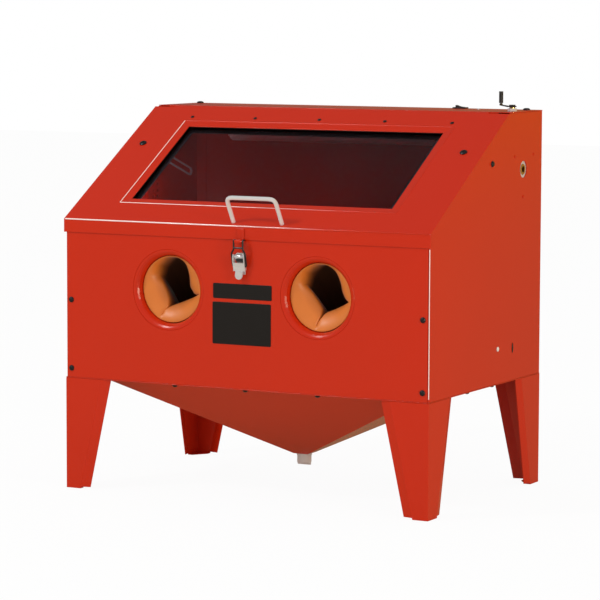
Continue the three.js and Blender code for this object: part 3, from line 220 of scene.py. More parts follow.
tree.links.new(share.outputs[0], mix.inputs["Fac"])
tree.links.new(mirrored.outputs[0], mix.inputs[1])
tree.links.new(bright.outputs[0], mix.inputs[2])
tree.links.new(mix.outputs[0], floor_out.inputs["Surface"])
floor.data.materials.append(floor_finish)
print("lamps and floor are ready")

# %% [markdown]
# ## Shared surface effects
# Powder coat is never quite flat: the baked film has a faint orange-peel ripple and a
# slow drift in tone. Plated steel shows fine scratches, and handled rubber and plastic
# have a soft mottle. Each effect is a node group, built once and used by many finishes
# with its own numbers. All of them read Object coordinates, so nothing slides when a
# piece moves.

# %% Node group helpers


def socket(group, name, kind, way, value=None):
    """Adds one named socket to a node group."""
    made = group.interface.new_socket(name=name, in_out=way, socket_type=kind)
    if value is not None:
        made.default_value = value


def surface_group(name):
    """A group with the sockets that every surface effect here shares."""
    group = bpy.data.node_groups.new(name, "ShaderNodeTree")
    socket(group, "Colour", "NodeSocketColor", "INPUT", (0.5, 0.5, 0.5, 1))
    socket(group, "Variation", "NodeSocketFloat", "INPUT", 0.1)
    socket(group, "Roughness", "NodeSocketFloat", "INPUT", 0.4)
    socket(group, "Scale", "NodeSocketFloat", "INPUT", 100.0)
    socket(group, "Colour", "NodeSocketColor", "OUTPUT")
    socket(group, "Roughness", "NodeSocketFloat", "OUTPUT")
    socket(group, "Height", "NodeSocketFloat", "OUTPUT")
    nodes = group.nodes
    return group, nodes.new("NodeGroupInput"), nodes.new("NodeGroupOutput")


def fine_and_slow(group, start, stretch, slow_ratio, detail):
    """Two noises on Object coordinates: one at Scale, one many times wider."""
    nodes, links = group.nodes, group.links
    coordinates = nodes.new("ShaderNodeTexCoord")
    mapping = nodes.new("ShaderNodeMapping")
    mapping.inputs["Scale"].default_value = stretch
    links.new(coordinates.outputs["Object"], mapping.inputs["Vector"])
    fine = nodes.new("ShaderNodeTexNoise")
    fine.inputs["Detail"].default_value = detail
    links.new(mapping.outputs[0], fine.inputs["Vector"])
    links.new(start.outputs["Scale"], fine.inputs["Scale"])
    wide = nodes.new("ShaderNodeTexNoise")
    ratio = nodes.new("ShaderNodeMath")
    ratio.operation = "MULTIPLY"
    ratio.inputs[1].default_value = slow_ratio
    links.new(start.outputs["Scale"], ratio.inputs[0])
    links.new(coordinates.outputs["Object"], wide.inputs["Vector"])
    links.new(ratio.outputs[0], wide.inputs["Scale"])
    return fine, wide


def finish_group(group, start, end, fine, wide):
    """Joins the two noises to the group's colour, roughness and height outputs."""
    nodes, links = group.nodes, group.links
    centred = nodes.new("ShaderNodeMath")
    centred.operation = "SUBTRACT"
    centred.inputs[1].default_value = 0.5
    links.new(wide.outputs["Fac"], centred.inputs[0])
    drift = nodes.new("ShaderNodeMath")
    drift.operation = "MULTIPLY_ADD"
    drift.inputs[2].default_value = 1.0
    links.new(centred.outputs[0], drift.inputs[0])
    links.new(start.outputs["Variation"], drift.inputs[1])
    tint = nodes.new("ShaderNodeVectorMath")
    tint.operation = "SCALE"
    links.new(start.outputs["Colour"], tint.inputs[0])
    links.new(drift.outputs[0], tint.inputs["Scale"])
    links.new(tint.outputs[0], end.inputs["Colour"])
    rough = nodes.new("ShaderNodeMath")
    rough.operation = "MULTIPLY_ADD"
    rough.inputs[1].default_value = 0.12
    lifted = nodes.new("ShaderNodeMath")
    lifted.operation = "SUBTRACT"
    lifted.inputs[1].default_value = 0.06
    links.new(fine.outputs["Fac"], rough.inputs[0])
    links.new(start.outputs["Roughness"], rough.inputs[2])
    links.new(rough.outputs[0], lifted.inputs[0])
    links.new(lifted.outputs[0], end.inputs["Roughness"])
    links.new(fine.outputs["Fac"], end.inputs["Height"])


# %% The three surface effects
powder_film, start, end = surface_group("powder_film")
fine, wide = fine_and_slow(powder_film, start, (1, 1, 1), 0.012, 2.0)
finish_group(powder_film, start, end, fine, wide)

drawn_metal, start, end = surface_group("drawn_metal")
fine, wide = fine_and_slow(drawn_metal, start, (0.08, 1, 1), 0.03, 5.0)
finish_group(drawn_metal, start, end, fine, wide)

soft_mottle, start, end = surface_group("soft_mottle")
fine, wide = fine_and_slow(soft_mottle, start, (1, 1, 1), 0.05, 6.0)
finish_group(soft_mottle, start, end, fine, wide)
print("surface groups:", [g.name for g in (powder_film, drawn_metal, soft_mottle)])

# %% [markdown]
# ## Finishes
# One function builds every plain finish: it places an effect group beside a Principled
# shader and joins them. Numbers that are the same all over a surface, such as the coat
# or the metal's index, are typed straight on the shader.

# %% A finish from an effect


def finish(name, effect, colour, roughness, variation=0.1, scale=100.0, bump=0.1,
           depth=0.0002, metallic=0.0, coat=0.0, coat_roughness=0.1):
    """A material whose colour, roughness and relief come from one effect group."""
    material = bpy.data.materials.new(name)
    material.use_nodes = True
    nodes, links = material.node_tree.nodes, material.node_tree.links
    shader = nodes["Principled BSDF"]
    group = nodes.new("ShaderNodeGroup")
    group.node_tree = effect
    group.inputs["Colour"].default_value = (*colour, 1)
    group.inputs["Variation"].default_value = variation
    group.inputs["Roughness"].default_value = roughness
    group.inputs["Scale"].default_value = scale
    relief = nodes.new("ShaderNodeBump")
    relief.inputs["Strength"].default_value = bump
    relief.inputs["Distance"].default_value = depth
    links.new(group.outputs["Colour"], shader.inputs["Base Color"])
    links.new(group.outputs["Roughness"], shader.inputs["Roughness"])
    links.new(group.outputs["Height"], relief.inputs["Height"])
    links.new(relief.outputs["Normal"], shader.inputs["Normal"])
    shader.inputs["Metallic"].default_value = metallic
    shader.inputs["Coat Weight"].default_value = coat
    shader.inputs["Coat Roughness"].default_value = coat_roughness
    return material


RED_PAINT = (0.55, 0.019, 0.0015)
paint = finish("red_powder_coat", powder_film, RED_PAINT, 0.24, 0.05, 420, 0.12,
               0.00004)
zinc = finish("bright_zinc", drawn_metal, (0.80, 0.81, 0.83), 0.24, 0.12, 900, 0.10,
              0.00003, metallic=0.5)
chrome = finish("polished_rod", drawn_metal, (0.95, 0.94, 0.94), 0.10, 0.05, 900, 0.05,
                0.00002, metallic=0.45)
brass = finish("turned_brass", drawn_metal, (0.72, 0.50, 0.19), 0.26, 0.15, 800, 0.12,
               0.00003, metallic=1.0)
cast_alloy = finish("cast_alloy", soft_mottle, (0.52, 0.53, 0.55), 0.48, 0.18, 500, 0.35,
                    0.0002, metallic=1.0)
black_steel = finish("blackened_steel", soft_mottle, (0.022, 0.022, 0.026), 0.34, 0.3,
                     700, 0.15, 0.00005, metallic=0.4)
black_plastic = finish("black_plastic", soft_mottle, (0.020, 0.020, 0.022), 0.46, 0.25,
                       900, 0.25, 0.00006)
pale_plastic = finish("pale_plastic", soft_mottle, (0.78, 0.73, 0.66), 0.42, 0.12, 500,
                      0.15, 0.00008)
seal_rubber = finish("seal_rubber", soft_mottle, (0.018, 0.018, 0.019), 0.75, 0.3, 700,
                     0.35, 0.0002)
lamp_enamel = finish("lamp_enamel", powder_film, (0.80, 0.79, 0.76), 0.35, 0.05, 420,
                     0.15, 0.00005)
frosted = finish("frosted_lens", soft_mottle, (0.86, 0.88, 0.87), 0.5, 0.05, 600, 0.15,
                 0.0001)
ceramic = finish("nozzle_ceramic", soft_mottle, (0.76, 0.72, 0.66), 0.62, 0.15, 700, 0.3,
                 0.0001)
print("finishes:", len(bpy.data.materials))

# %% [markdown]
# ## Window glass
# The pane is clear safety glass. The booth behind it is dark, so from outside it reads as
# smoky, with a few specks of blasting dust. Tinting the transmission a little keeps the
# inside visible but dim.

# %% Glass
glass = bpy.data.materials.new("safety_glass")
glass.use_nodes = True
nodes, links = glass.node_tree.nodes, glass.node_tree.links
shader = nodes["Principled BSDF"]
shader.inputs["Transmission Weight"].default_value = 1.0
shader.inputs["IOR"].default_value = 1.12
coordinates = nodes.new("ShaderNodeTexCoord")
haze = nodes.new("ShaderNodeTexNoise")
haze.inputs["Scale"].default_value = 5.0
haze.inputs["Detail"].default_value = 4.0
ramp = nodes.new("ShaderNodeValToRGB")
ramp.color_ramp.elements[0].position = 0.35
ramp.color_ramp.elements[0].color = (0.42, 0.34, 0.38, 1)
ramp.color_ramp.elements[1].position = 0.75
ramp.color_ramp.elements[1].color = (0.47, 0.38, 0.42, 1)
rough = nodes.new("ShaderNodeMath")
rough.operation = "MULTIPLY"
rough.inputs[1].default_value = 0.05
links.new(coordinates.outputs["Object"], haze.inputs["Vector"])
links.new(haze.outputs["Fac"], ramp.inputs["Fac"])
links.new(ramp.outputs["Color"], shader.inputs["Base Color"])
links.new(haze.outputs["Fac"], rough.inputs[0])
links.new(rough.outputs[0], shader.inputs["Roughness"])

# %% [markdown]
# ## Glove material
# The gloves are cotton dipped in orange rubber. The film is thin and slightly translucent,
# with a satin sheen and a fine grain. As painted shade, its colour darkens the deeper it
# lies in the port.

# %% Glove rubber
glove_rubber = finish("dipped_glove_rubber", soft_mottle, (0.68, 0.185, 0.022), 0.42, 0.30,
                      260, 0.35, 0.0003, coat=0.1, coat_roughness=0.35)
shader = glove_rubber.node_tree.nodes["Principled BSDF"]
shader.inputs["Sheen Weight"].default_value = 0.15
shader.inputs["Sheen Roughness"].default_value = 0.4
nodes, links = glove_rubber.node_tree.nodes, glove_rubber.node_tree.links
effect = next(node for node in nodes if node.type == "GROUP")
coordinates = nodes.new("ShaderNodeTexCoord")
split = nodes.new("ShaderNodeSeparateXYZ")
# Painted shade: the rubber's colour falls from full at 20 mm behind the front to 6 percent
# at 52 mm, where the port lies in shadow.
deep = nodes.new("ShaderNodeMapRange")
deep.inputs["From Min"].default_value = FRONT_Y + 0.020
deep.inputs["From Max"].default_value = FRONT_Y + 0.052
deep.inputs["To Min"].default_value = 1.0
deep.inputs["To Max"].default_value = 0.06
painted_port_shade = nodes.new("ShaderNodeVectorMath")
painted_port_shade.operation = "SCALE"
links.new(coordinates.outputs["Object"], split.inputs[0])
links.new(split.outputs["Y"], deep.inputs["Value"])
links.new(effect.outputs["Colour"], painted_port_shade.inputs[0])
links.new(deep.outputs["Result"], painted_port_shade.inputs["Scale"])
links.new(painted_port_shade.outputs[0], shader.inputs["Base Color"])

# %% [markdown]
# ## Softened folds
# A panel folded on a brake has no knife edges: every corner of the sheet is rounded, and
# that tiny round is what catches the light. Each CAD panel is copied, its loose triangles
# are merged into clean faces, and a narrow bevel goes round every sharp edge. The weighted
# normals keep the broad faces flat. The copy then stands for the CAD node.

# %% A helper that softens a node's edges


def select_only(piece):
    """Selects one object and makes it active."""
    bpy.ops.object.select_all(action="DESELECT")
    piece.select_set(True)
    bpy.context.view_layer.objects.active = piece


def set_finish(piece, material):
    """Gives a piece one material."""
    piece.data.materials.clear()
    piece.data.materials.append(material)


def settle(piece, node_or_body, material):
    """Rides a finished piece on a body and gives it its material."""
    set_finish(piece, material)
    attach(piece, body_of.get(node_or_body, node_or_body))


def apply_all(piece):
    """Applies every modifier of a piece, in order."""
    select_only(piece)
    for modifier in list(piece.modifiers):
        bpy.ops.object.modifier_apply(modifier=modifier.name)


def softened(node, material, width=0.0006, segments=2, angle=5):
    """A copy of a CAD node with merged faces and rounded edges, standing for the node."""
    source = frame["nodes"][node]
    piece = bpy.data.objects.new(f"{node}_folded", source.data.copy())
    scene.collection.objects.link(piece)
    select_only(piece)
    bpy.ops.object.mode_set(mode="EDIT")
    bpy.ops.mesh.select_all(action="SELECT")
    bpy.ops.mesh.remove_doubles(threshold=0.000005)
    bpy.ops.mesh.dissolve_limited(angle_limit=math.radians(0.4))
    bpy.ops.object.mode_set(mode="OBJECT")
    bevel = piece.modifiers.new("rounded_edges", "BEVEL")
    bevel.width = width
    bevel.segments = segments
    bevel.limit_method = "ANGLE"
    bevel.angle_limit = math.radians(angle)
    bevel.miter_outer = "MITER_ARC"
    bevel.use_clamp_overlap = True
    apply_all(piece)
    bpy.ops.object.shade_smooth_by_angle(angle=math.radians(40))
    weighted = piece.modifiers.new("flat_faces", "WEIGHTED_NORMAL")
    weighted.keep_sharp = True
    apply_all(piece)
    settle(piece, node, material)
    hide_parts(node)
    return piece


# %% Soften the painted steel
PAINTED = [
    "front_panel", "side_panel_left", "side_panel_right", "back_panel", "top_panel",
    "hopper", "leg_front_left", "leg_front_right", "leg_rear_left", "leg_rear_right",
    "lid", "latch_keeper", "grate_rail_left", "grate_rail_right",
]
for node in PAINTED:
    piece = softened(node, paint)
    print(piece.name, len(piece.data.polygons), "faces")

# %% [markdown]
# ## The pressed line round the window
# The lid steps down to the glass along a pressed line, and a studio lamp draws a bright
# line along such a fold. A thin round bar, a little proud of the sheet, stands for it on
# each side of the window, along the lid's front bend and down the front right corner.
# Those that face the lamp get a painted highlight, a pale colour that fades into the paint
# to the right.

# %% Window ridge and bright folds
RIDGE_DEPTH = 0.0004
WINDOW_HALF = 0.265
WINDOW_LOW, WINDOW_HIGH = 0.055, 0.315


def ridge(name, start, finish_point, body="lid", material=paint, radius=0.0009):
    """A round bar between two points of the lid's skin."""
    middle = (start + finish_point) / 2
    along = finish_point - start
    bpy.ops.object.select_all(action="DESELECT")
    bpy.ops.mesh.primitive_cylinder_add(vertices=16, radius=radius, depth=along.length)
    bar = bpy.context.active_object
    bar.name = name
    turn = Vector((0, 0, 1)).rotation_difference(along).to_matrix().to_4x4()
    bar.data.transform(Matrix.Translation(middle) @ turn)
    bpy.ops.object.shade_smooth_by_angle(angle=math.radians(50))
    settle(bar, body, material)
    return bar


corners = [
    on_lid(-WINDOW_HALF, WINDOW_LOW, -RIDGE_DEPTH),
    on_lid(WINDOW_HALF, WINDOW_LOW, -RIDGE_DEPTH),
    on_lid(WINDOW_HALF, WINDOW_HIGH, -RIDGE_DEPTH),
    on_lid(-WINDOW_HALF, WINDOW_HIGH, -RIDGE_DEPTH),
]
# Painted highlight: a pale pinkish colour on the bars, standing for the lamp's bright line
# along the folds.
painted_highlight_edge = finish("painted_highlight_edge", powder_film, (0.95, 0.72, 0.66), 0.16, 0.1, 420, 0.1,
                     0.00004, coat=0.6, coat_roughness=0.06)
fading_painted_highlight = finish("fading_painted_highlight", powder_film, RED_PAINT, 0.16, 0.1, 420, 0.1, 0.00004,
                     coat=0.6, coat_roughness=0.06)
nodes, links = fading_painted_highlight.node_tree.nodes, fading_painted_highlight.node_tree.links
coordinates = nodes.new("ShaderNodeTexCoord")
split = nodes.new("ShaderNodeSeparateXYZ")
across = nodes.new("ShaderNodeMapRange")
across.inputs["From Min"].default_value = -0.12
across.inputs["From Max"].default_value = 0.16
# The painted highlight is pale at the left and fades into the paint's red towards the
# right.
highlight_fade = nodes.new("ShaderNodeValToRGB")
highlight_fade.color_ramp.elements[0].color = (0.95, 0.80, 0.76, 1)
highlight_fade.color_ramp.elements[1].color = (*RED_PAINT, 1)
effect = next(node for node in nodes if node.type == "GROUP")
links.new(coordinates.outputs["Object"], split.inputs[0])
links.new(split.outputs["X"], across.inputs["Value"])
links.new(across.outputs["Result"], highlight_fade.inputs["Fac"])
links.new(highlight_fade.outputs["Color"], effect.inputs["Colour"])
edges = (fading_painted_highlight, paint, paint, painted_highlight_edge)
for index in range(4):
    ridge(f"window_ridge_{index + 1}", corners[index], corners[(index + 1) % 4],
          material=edges[index])
ridge("lid_bend_edge", on_lid(-0.346, 0, -RIDGE_DEPTH), on_lid(0.346, 0, -RIDGE_DEPTH),
      material=fading_painted_highlight, radius=0.0011)
ridge("front_corner_edge", Vector((SIDE_X - 0.0004, FRONT_Y + 0.0004, 0.200)),
      Vector((SIDE_X - 0.0004, FRONT_Y + 0.0004, 0.444)), "front_panel", painted_highlight_edge,
      0.0008)

# %% Soften the hardware
SOFTENED = {
    "latch_base": zinc, "latch_lever": zinc, "stay_bracket_left": zinc,
    "stay_bracket_right": zinc, "stay_arm_left": zinc, "stay_arm_right": zinc,
    "window_retainer": black_steel, "work_grate": zinc, "lamp_housing": lamp_enamel,
    "lamp_switch_body": black_plastic, "lamp_switch_rocker": black_plastic,
    "valve_lever": black_steel, "gun_body": cast_alloy, "drain_spout": pale_plastic,
    "drain_cap": pale_plastic,
}
for node, material in SOFTENED.items():
    softened(node, material, width=0.0003, angle=28)
print("softened hardware:", len(SOFTENED))

# %% [markdown]
# ## Finishes for the pieces whose CAD shape already shows it all
# Turned and wire pieces need no rounding, only their metal or rubber. A flat-shaded
# cylinder would show its sides, but these nodes keep their CAD mesh as it is and only take
# their finish.

# %% Carried-over nodes
CARRIED = {
    "window_glass": glass, "window_seal": seal_rubber, "lid_seal": seal_rubber,
    "lid_handle": chrome, "hinge_leaf_body": paint, "hinge_leaf_lid": paint,
    "hinge_pin": zinc, "latch_bail": black_steel, "glove_clamp_left": zinc,
    "glove_clamp_right": zinc, "lamp_lens": frosted, "cable_gland": black_plastic,
    "inlet_plate": zinc, "inlet_fitting": brass, "riser_pipe": brass, "valve_body": brass,
    "valve_nut": zinc, "valve_grip": black_plastic, "gun_nozzle": ceramic,
    "gun_trigger": black_plastic, "pickup_tube": zinc, "vent_baffle": paint,
    "stay_stud_left": black_steel, "stay_stud_right": black_steel,
    "panel_screw_left_lower": black_steel, "panel_screw_right_lower": black_steel,
    "panel_screw_left_upper": black_steel, "panel_screw_right_upper": black_steel,
}
for node, material in CARRIED.items():
    set_finish(frame["nodes"][node], material)
print("carried over:", len(CARRIED))

# %% [markdown]
# ## Screw and bolt heads
# A pan head is a short cylinder whose rim rolls over into a shallow dome, here with a round
# recess in the top. One head is modelled by hand: a cylinder primitive, its top face raised
# in two narrowing steps, then inset and sunk. Copies of its mesh then go wherever a screw
# is.

# %% One screw head


def face_up(piece, direction):
    """Selects, in edit mode, only the faces whose normal points along direction."""
    bpy.ops.mesh.select_all(action="DESELECT")
    bpy.ops.object.mode_set(mode="OBJECT")
    for face in piece.data.polygons:
        face.select = face.normal.dot(Vector(direction)) > 0.99
    bpy.ops.object.mode_set(mode="EDIT")


def screw_head(name, radius, height, sides=24):
    """A domed head made about +Z with its underside at the origin."""
    bpy.ops.object.select_all(action="DESELECT")
    bpy.ops.mesh.primitive_cylinder_add(
        vertices=sides, radius=radius, depth=height * 0.5, location=(0, 0, height * 0.25),
    )
    head = bpy.context.active_object
    head.name = name
    bpy.ops.object.transform_apply(location=True, rotation=True, scale=True)
    bpy.ops.object.mode_set(mode="EDIT")
    bpy.ops.mesh.select_mode(type="FACE")
    face_up(head, (0, 0, 1))
    bpy.ops.mesh.extrude_region_move(
        TRANSFORM_OT_translate={"value": (0, 0, height * 0.3)},
    )
    bpy.ops.transform.resize(value=(0.78, 0.78, 1))
    bpy.ops.mesh.extrude_region_move(
        TRANSFORM_OT_translate={"value": (0, 0, height * 0.2)},
    )
    bpy.ops.transform.resize(value=(0.6, 0.6, 1))
    bpy.ops.mesh.inset(thickness=radius * 0.12)
    bpy.ops.mesh.extrude_region_move(
        TRANSFORM_OT_translate={"value": (0, 0, -height * 0.35)},
    )
    bpy.ops.transform.resize(value=(0.8, 0.8, 1))
    bpy.ops.object.mode_set(mode="OBJECT")
    bpy.ops.object.shade_smooth_by_angle(angle=math.radians(50))
    return head


def placed_copy(pattern, name, place, direction, node_or_body, material):
    """A copy of a pattern made about +Z, turned to a direction, with its own mesh."""
    piece = bpy.data.objects.new(name, pattern.data.copy())
    scene.collection.objects.link(piece)
    turn = Vector((0, 0, 1)).rotation_difference(Vector(direction)).to_matrix().to_4x4()
    piece.data.transform(Matrix.Translation(Vector(place)) @ turn)
    settle(piece, node_or_body, material)
    return piece


small_head = screw_head("small_head_pattern", 0.0032, 0.0016)
bolt_head = screw_head("bolt_head_pattern", 0.0062, 0.0034)
rivet_head = screw_head("rivet_head_pattern", 0.0028, 0.0012)
flange_head = screw_head("flange_head_pattern", 0.0046, 0.0052)

# %% Screws on the lid
HINGE_SCREW_UP = 0.327
for index in range(5):
    x = -0.2556 + 0.1278 * index
    placed_copy(small_head, f"hinge_screw_{index + 1}", on_lid(x, HINGE_SCREW_UP), OUTWARD,
                "lid", black_steel)
for side, x in (("left", -0.3128), ("right", 0.3128)):
    placed_copy(bolt_head, f"stay_bolt_{side}", on_lid(x, 0.238), OUTWARD, "lid",
                black_steel)
print("lid screws placed")

# %% Screws round the hopper flange and up the body
FLANGE_TOP = hopper_high[2] - 0.0015
for index in range(5):
    x = -0.274 + 0.137 * index
    place = (x, FRONT_Y + 0.0135, FLANGE_TOP)
    placed_copy(flange_head, f"hopper_screw_front_{index + 1}", place, (0, 0, -1), "hopper",
                black_steel)
    place = (x, hopper_high[1] - 0.0135, FLANGE_TOP)
    placed_copy(flange_head, f"hopper_screw_rear_{index + 1}", place, (0, 0, -1), "hopper",
                black_steel)
for side, x in (("left", -0.3345), ("right", 0.3345)):
    for index in range(2):
        y = MIDDLE_Y - 0.051 + 0.102 * index
        placed_copy(flange_head, f"hopper_screw_{side}_{index + 1}", (x, y, FLANGE_TOP),
                    (0, 0, -1), "hopper", black_steel)
for name, x, y in (("left", -0.331, 0.2145), ("right", 0.327, 0.209)):
    placed_copy(bolt_head, f"top_screw_{name}", (x, y, TOP_Z), (0, 0, 1), "top_panel",
                black_steel)
placed_copy(rivet_head, "top_rivet", (0.242, 0.194, TOP_Z), (0, 0, 1), "top_panel", zinc)
print("hopper and top screws placed")

# %% Rivets round the air inlet
INLET_Y, INLET_Z = MIDDLE_Y + 0.147, 0.556
for index, (dy, dz) in enumerate(((-0.0365, 0.0235), (0.043, 0.0245), (0.0, -0.047))):
    placed_copy(rivet_head, f"inlet_rivet_{index + 1}",
                (SIDE_X, INLET_Y + dy, INLET_Z + dz), (1, 0, 0), "side_panel_right", paint)
for pattern in (small_head, bolt_head, rivet_head, flange_head):
    bpy.data.objects.remove(pattern)

# %% [markdown]
# ## Latch spring and roller
# Between the latch's arms sits a dark spring block, with a bright roller over the pivot
# above it. Both are primitives with rounded rims, drawn at their real place.

# %% Latch centre
PIVOT_OUT, PIVOT_Z = 0.008, 0.418


def rounded_box(name, low, high, node_or_body, material, rim=0.0006):
    """A box between two corners with its edges rounded."""
    low, high = Vector(low), Vector(high)
    bpy.ops.object.select_all(action="DESELECT")
    bpy.ops.mesh.primitive_cube_add(size=1, location=(low + high) / 2)
    block = bpy.context.active_object
    block.name = name
    block.scale = high - low
    bpy.ops.object.transform_apply(location=True, rotation=True, scale=True)
    bevel = block.modifiers.new("rim", "BEVEL")
    bevel.width = rim
    bevel.segments = 3
    apply_all(block)
    bpy.ops.object.shade_smooth_by_angle(angle=math.radians(40))
    settle(block, node_or_body, material)
    return block


rounded_box("latch_spring_block", (-0.0060, FRONT_Y - 0.0088, PIVOT_Z - 0.0085),
            (0.0060, FRONT_Y - 0.0020, PIVOT_Z - 0.0035), "latch_base", black_plastic)
rounded_box("latch_roller", (-0.0062, FRONT_Y - 0.0108, PIVOT_Z - 0.0026),
            (0.0062, FRONT_Y - 0.0052, PIVOT_Z + 0.0028), "latch_base", zinc, 0.0018)

# %% [markdown]
# ## Blank plates
# Thin printed plates carry the instructions on a real cabinet. Here they are bare black
# laminate with a rounded rim. Each is a plane given corners by a bevel and a wall by
# Solidify.

# %% Plates under the latch
plate_laminate = finish("plate_laminate", soft_mottle, (0.006, 0.006, 0.007), 0.5, 0.2,
                        600, 0.1, 0.00003)


def front_plate(name, left, right, low, high, thickness=0.0006, corner=0.0022):
    """A flat plate with round corners, lying on the front panel."""
    bpy.ops.object.select_all(action="DESELECT")
    middle = ((left + right) / 2, FRONT_Y - 0.0001, (low + high) / 2)
    bpy.ops.mesh.primitive_plane_add(size=1, location=middle, rotation=(math.pi / 2, 0, 0))
    plate = bpy.context.active_object
    plate.name = name
    plate.scale = (right - left, high - low, 1)
    bpy.ops.object.transform_apply(location=True, rotation=True, scale=True)
    bpy.ops.object.mode_set(mode="EDIT")
    bpy.ops.mesh.select_all(action="SELECT")
    bpy.ops.mesh.bevel(offset=corner, segments=5, affect="VERTICES")
    bpy.ops.object.mode_set(mode="OBJECT")
    wall = plate.modifiers.new("wall", "SOLIDIFY")
    wall.thickness = thickness
    wall.offset = 1
    rim = plate.modifiers.new("rim", "BEVEL")
    rim.width = thickness * 0.4
    rim.segments = 2
    apply_all(plate)
    settle(plate, "front_panel", plate_laminate)
    return plate


front_plate("plate_upper", -0.0545, 0.0575, 0.346, 0.3715)
front_plate("plate_lower", -0.0555, 0.0560, 0.2690, 0.3400)
print("blank plates placed")

# %% Plug and slot on the right side


def side_disc(name, y, z, radius_y, radius_z, out, material):
    """A low domed cap on the right side panel."""
    bpy.ops.object.select_all(action="DESELECT")
    bpy.ops.mesh.primitive_cylinder_add(
        vertices=28, radius=1, depth=out, location=(SIDE_X + out / 2, y, z),
        rotation=(0, math.pi / 2, 0),
    )
    cap = bpy.context.active_object
    cap.name = name
    bpy.ops.object.transform_apply(location=False, rotation=True, scale=True)
    cap.scale = (1, radius_y, radius_z)
    bpy.ops.object.transform_apply(location=True, rotation=True, scale=True)
    rim = cap.modifiers.new("rim", "BEVEL")
    rim.width = out * 0.45
    rim.segments = 3
    apply_all(cap)
    bpy.ops.object.shade_smooth_by_angle(angle=math.radians(40))
    settle(cap, "side_panel_right", material)
    return cap


side_disc("side_plug", MIDDLE_Y + 0.0439, 0.2544, 0.0042, 0.0042, 0.0016, pale_plastic)
side_disc("side_slot_cover", MIDDLE_Y + 0.107, 0.2503, 0.0022, 0.0085, 0.0010, black_steel)

# %% [markdown]
# ## Gloves
# Each glove starts as a stiff cuff inside the port, then its thin rubber sleeve caves in
# under its own weight: a lip folds up at the bottom, one side pleats inwards, and the
# hand drops to the grate. The sleeve is grown ring by ring from a circle with extrude
# and transform operators. Its folds are then pressed in by moving the rings' points, and
# a subdivided wall makes it soft. Fingers come from a short skeleton under the Skin
# modifier.

# %% Sleeve rings
PORT_X = 0.1425
PORT_Z = 0.355
BORE = 0.0572
DEG = math.pi / 180


# The mouth of each collapsed sleeve, as seen from the front: at each angle round the port,
# where the fold's inner edge lies (shares of the bore) and how deep it is in millimetres.
FOLDS = {
    "left": (
        (-116, -0.42, -0.80, 19), (-103, -0.30, -0.60, 22), (-90, -0.12, -0.50, 30),
        (-60, 0.20, -0.38, 33), (-30, 0.55, -0.25, 30), (-8, 0.90, -0.10, 21),
        (8, 0.62, -0.16, 30), (25, 0.40, 0.05, 36), (45, 0.38, 0.40, 36),
        (62, 0.36, 0.70, 34), (82, 0.14, 0.90, 48), (105, -0.18, 0.90, 50),
        (130, -0.50, 0.66, 44), (152, -0.62, 0.36, 34), (172, -0.48, 0.14, 32),
        (192, -0.36, -0.08, 32), (212, -0.26, -0.32, 30), (230, -0.24, -0.54, 24),
    ),
    "right": (
        (-100, -0.20, -0.87, 19), (-88, -0.08, -0.62, 22), (-76, 0.02, -0.46, 30),
        (-50, 0.35, -0.33, 32), (-26, 0.62, -0.21, 29), (-6, 0.86, -0.10, 21),
        (8, 0.66, -0.04, 30), (25, 0.52, 0.16, 34), (42, 0.46, 0.40, 36),
        (60, 0.36, 0.70, 36), (82, 0.12, 0.90, 48), (105, -0.18, 0.90, 50),
        (128, -0.52, 0.66, 44), (150, -0.66, 0.34, 30), (175, -0.46, 0.12, 32),
        (200, -0.26, -0.14, 33), (222, -0.10, -0.36, 31), (246, -0.12, -0.60, 24),
    ),
}


def fold_edge(folds, angle):
    """The fold's inner edge at an angle: across, up and depth, in metres."""
    first = folds[0][0]
    degrees = (math.degrees(angle) - first) % 360 + first
    ends = folds + ((first + 360, *folds[0][1:]),)
    for low, high in zip(ends, ends[1:]):
        if degrees <= high[0]:
            share = (degrees - low[0]) / (high[0] - low[0])
            x, z, depth = (a + (b - a) * share for a, b in zip(low[1:], high[1:]))
            return x * BORE, z * BORE, depth / 1000
    return folds[0][1] * BORE, folds[0][2] * BORE, folds[0][3] / 1000


def sleeve_point(folds, angle, step, rings):
    """A point on the collapsed sleeve, ring by ring from the mouth to its far end."""
    edge_x, edge_z, edge_depth = fold_edge(folds, angle)
    mouth_x, mouth_z = BORE * math.cos(angle), BORE * math.sin(angle)
    lip = rings // 2
    if step <= lip:
        share = step / lip
        inward = share ** 0.9
        sink = share ** 1.7
        x = mouth_x + (edge_x - mouth_x) * inward
        z = mouth_z + (edge_z - mouth_z) * inward
        return x, 0.0135 + (edge_depth - 0.0135) * sink, z
    share = (step - lip) / (rings - lip)
    x = edge_x * (1 - 0.15 * share) + 0.10 * BORE * math.cos(angle) * share
    z = edge_z * (1 - 0.35 * share) - 0.062 * share ** 1.4
    return x, edge_depth + 0.075 * share, z


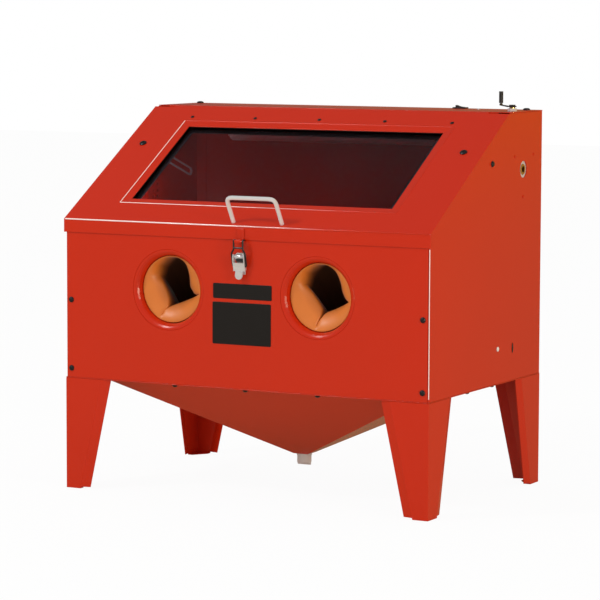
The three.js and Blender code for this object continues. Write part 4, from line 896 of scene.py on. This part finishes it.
def glove_sleeve(name, centre_x, folds):
    """The collapsed sleeve of one glove, standing for its CAD solid."""
    bpy.ops.object.select_all(action="DESELECT")
    sides, rings = 72, 26
    bpy.ops.mesh.primitive_circle_add(
        vertices=sides, radius=BORE, location=(centre_x, FRONT_Y + 0.014, PORT_Z),
        rotation=(math.pi / 2, 0, 0),
    )
    sleeve = bpy.context.active_object
    sleeve.name = name
    bpy.ops.object.transform_apply(location=True, rotation=True, scale=True)
    bpy.ops.object.mode_set(mode="EDIT")
    bpy.ops.mesh.select_mode(type="EDGE")
    bpy.ops.mesh.select_all(action="SELECT")
    for _ in range(rings):
        bpy.ops.mesh.extrude_region_move(TRANSFORM_OT_translate={"value": (0, 0.004, 0)})
    bpy.ops.object.mode_set(mode="OBJECT")
    for vertex in sleeve.data.vertices:
        step = round((vertex.co.y - FRONT_Y - 0.014) / 0.004)
        angle = math.atan2(vertex.co.z - PORT_Z, vertex.co.x - centre_x)
        x, y, z = sleeve_point(folds, angle, step, rings)
        vertex.co = (centre_x + x, FRONT_Y + y, PORT_Z + z)
    soften = sleeve.modifiers.new("soften", "SMOOTH")
    soften.factor = 0.5
    soften.iterations = 1
    wall = sleeve.modifiers.new("wall", "SOLIDIFY")
    wall.thickness = 0.0011
    wall.offset = 0
    smooth = sleeve.modifiers.new("smooth", "SUBSURF")
    smooth.levels = 1
    smooth.render_levels = 1
    apply_all(sleeve)
    bpy.ops.object.mode_set(mode="EDIT")
    bpy.ops.mesh.select_all(action="SELECT")
    bpy.ops.mesh.normals_make_consistent(inside=False)
    bpy.ops.object.mode_set(mode="OBJECT")
    bpy.ops.object.shade_smooth()
    settle(sleeve, "booth", glove_rubber)
    return sleeve


# %% Hands


def glove_hand(name, centre_x, thumb_side):
    """A limp hand: a skeleton of edges with a skin, a little flattened, hanging down."""
    wrist = Vector((centre_x, FRONT_Y + 0.085, PORT_Z - 0.052))
    drop = Vector((0, math.cos(50 * DEG), -math.sin(50 * DEG)))
    palm = wrist + drop * 0.032
    points = [wrist, palm]
    radii = [0.024, 0.021]
    edges = [(0, 1)]
    for finger in range(4):
        x = (finger - 1.5) * 0.0165
        length = 0.034 - 0.004 * abs(finger - 1.4)
        knuckle = palm + drop * 0.016 + Vector((x * 0.9, 0, 0))
        middle = knuckle + drop * length * 0.6 + Vector((x * 0.2, 0, 0.001 * finger))
        tip = middle + Vector((x * 0.1, 0.010, -0.010 - 0.002 * finger))
        first = len(points)
        points += [knuckle, middle, tip]
        radii += [0.0088, 0.0084, 0.0068]
        edges += [(1, first), (first, first + 1), (first + 1, first + 2)]
    side = Vector((thumb_side, 0, 0))
    first = len(points)
    points += [wrist + drop * 0.016 + side * 0.022, wrist + drop * 0.036 + side * 0.036]
    radii += [0.0095, 0.0080]
    edges += [(0, first), (first, first + 1)]
    mesh = bpy.data.meshes.new(name)
    mesh.from_pydata([tuple(p) for p in points], edges, [])
    hand = bpy.data.objects.new(name, mesh)
    scene.collection.objects.link(hand)
    skin = hand.modifiers.new("skin", "SKIN")
    skin.branch_smoothing = 0.6
    for index, layer in enumerate(mesh.skin_vertices[0].data):
        layer.radius = (radii[index], radii[index] * 0.72)
        layer.use_root = index == 0
    even = hand.modifiers.new("even", "REMESH")
    even.mode = "VOXEL"
    even.voxel_size = 0.0026
    soften = hand.modifiers.new("soften", "SMOOTH")
    soften.factor = 0.6
    soften.iterations = 6
    apply_all(hand)
    bpy.ops.object.shade_smooth()
    settle(hand, "booth", glove_rubber)
    return hand


# %% Both gloves
for side, sign in (("left", -1), ("right", 1)):
    sleeve = glove_sleeve(f"glove_sleeve_{side}", sign * PORT_X, FOLDS[side])
    hand = glove_hand(f"glove_hand_{side}", sign * PORT_X, -sign)
    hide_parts(f"glove_{side}")
    print(side, "glove:", len(sleeve.data.polygons), "and", len(hand.data.polygons))
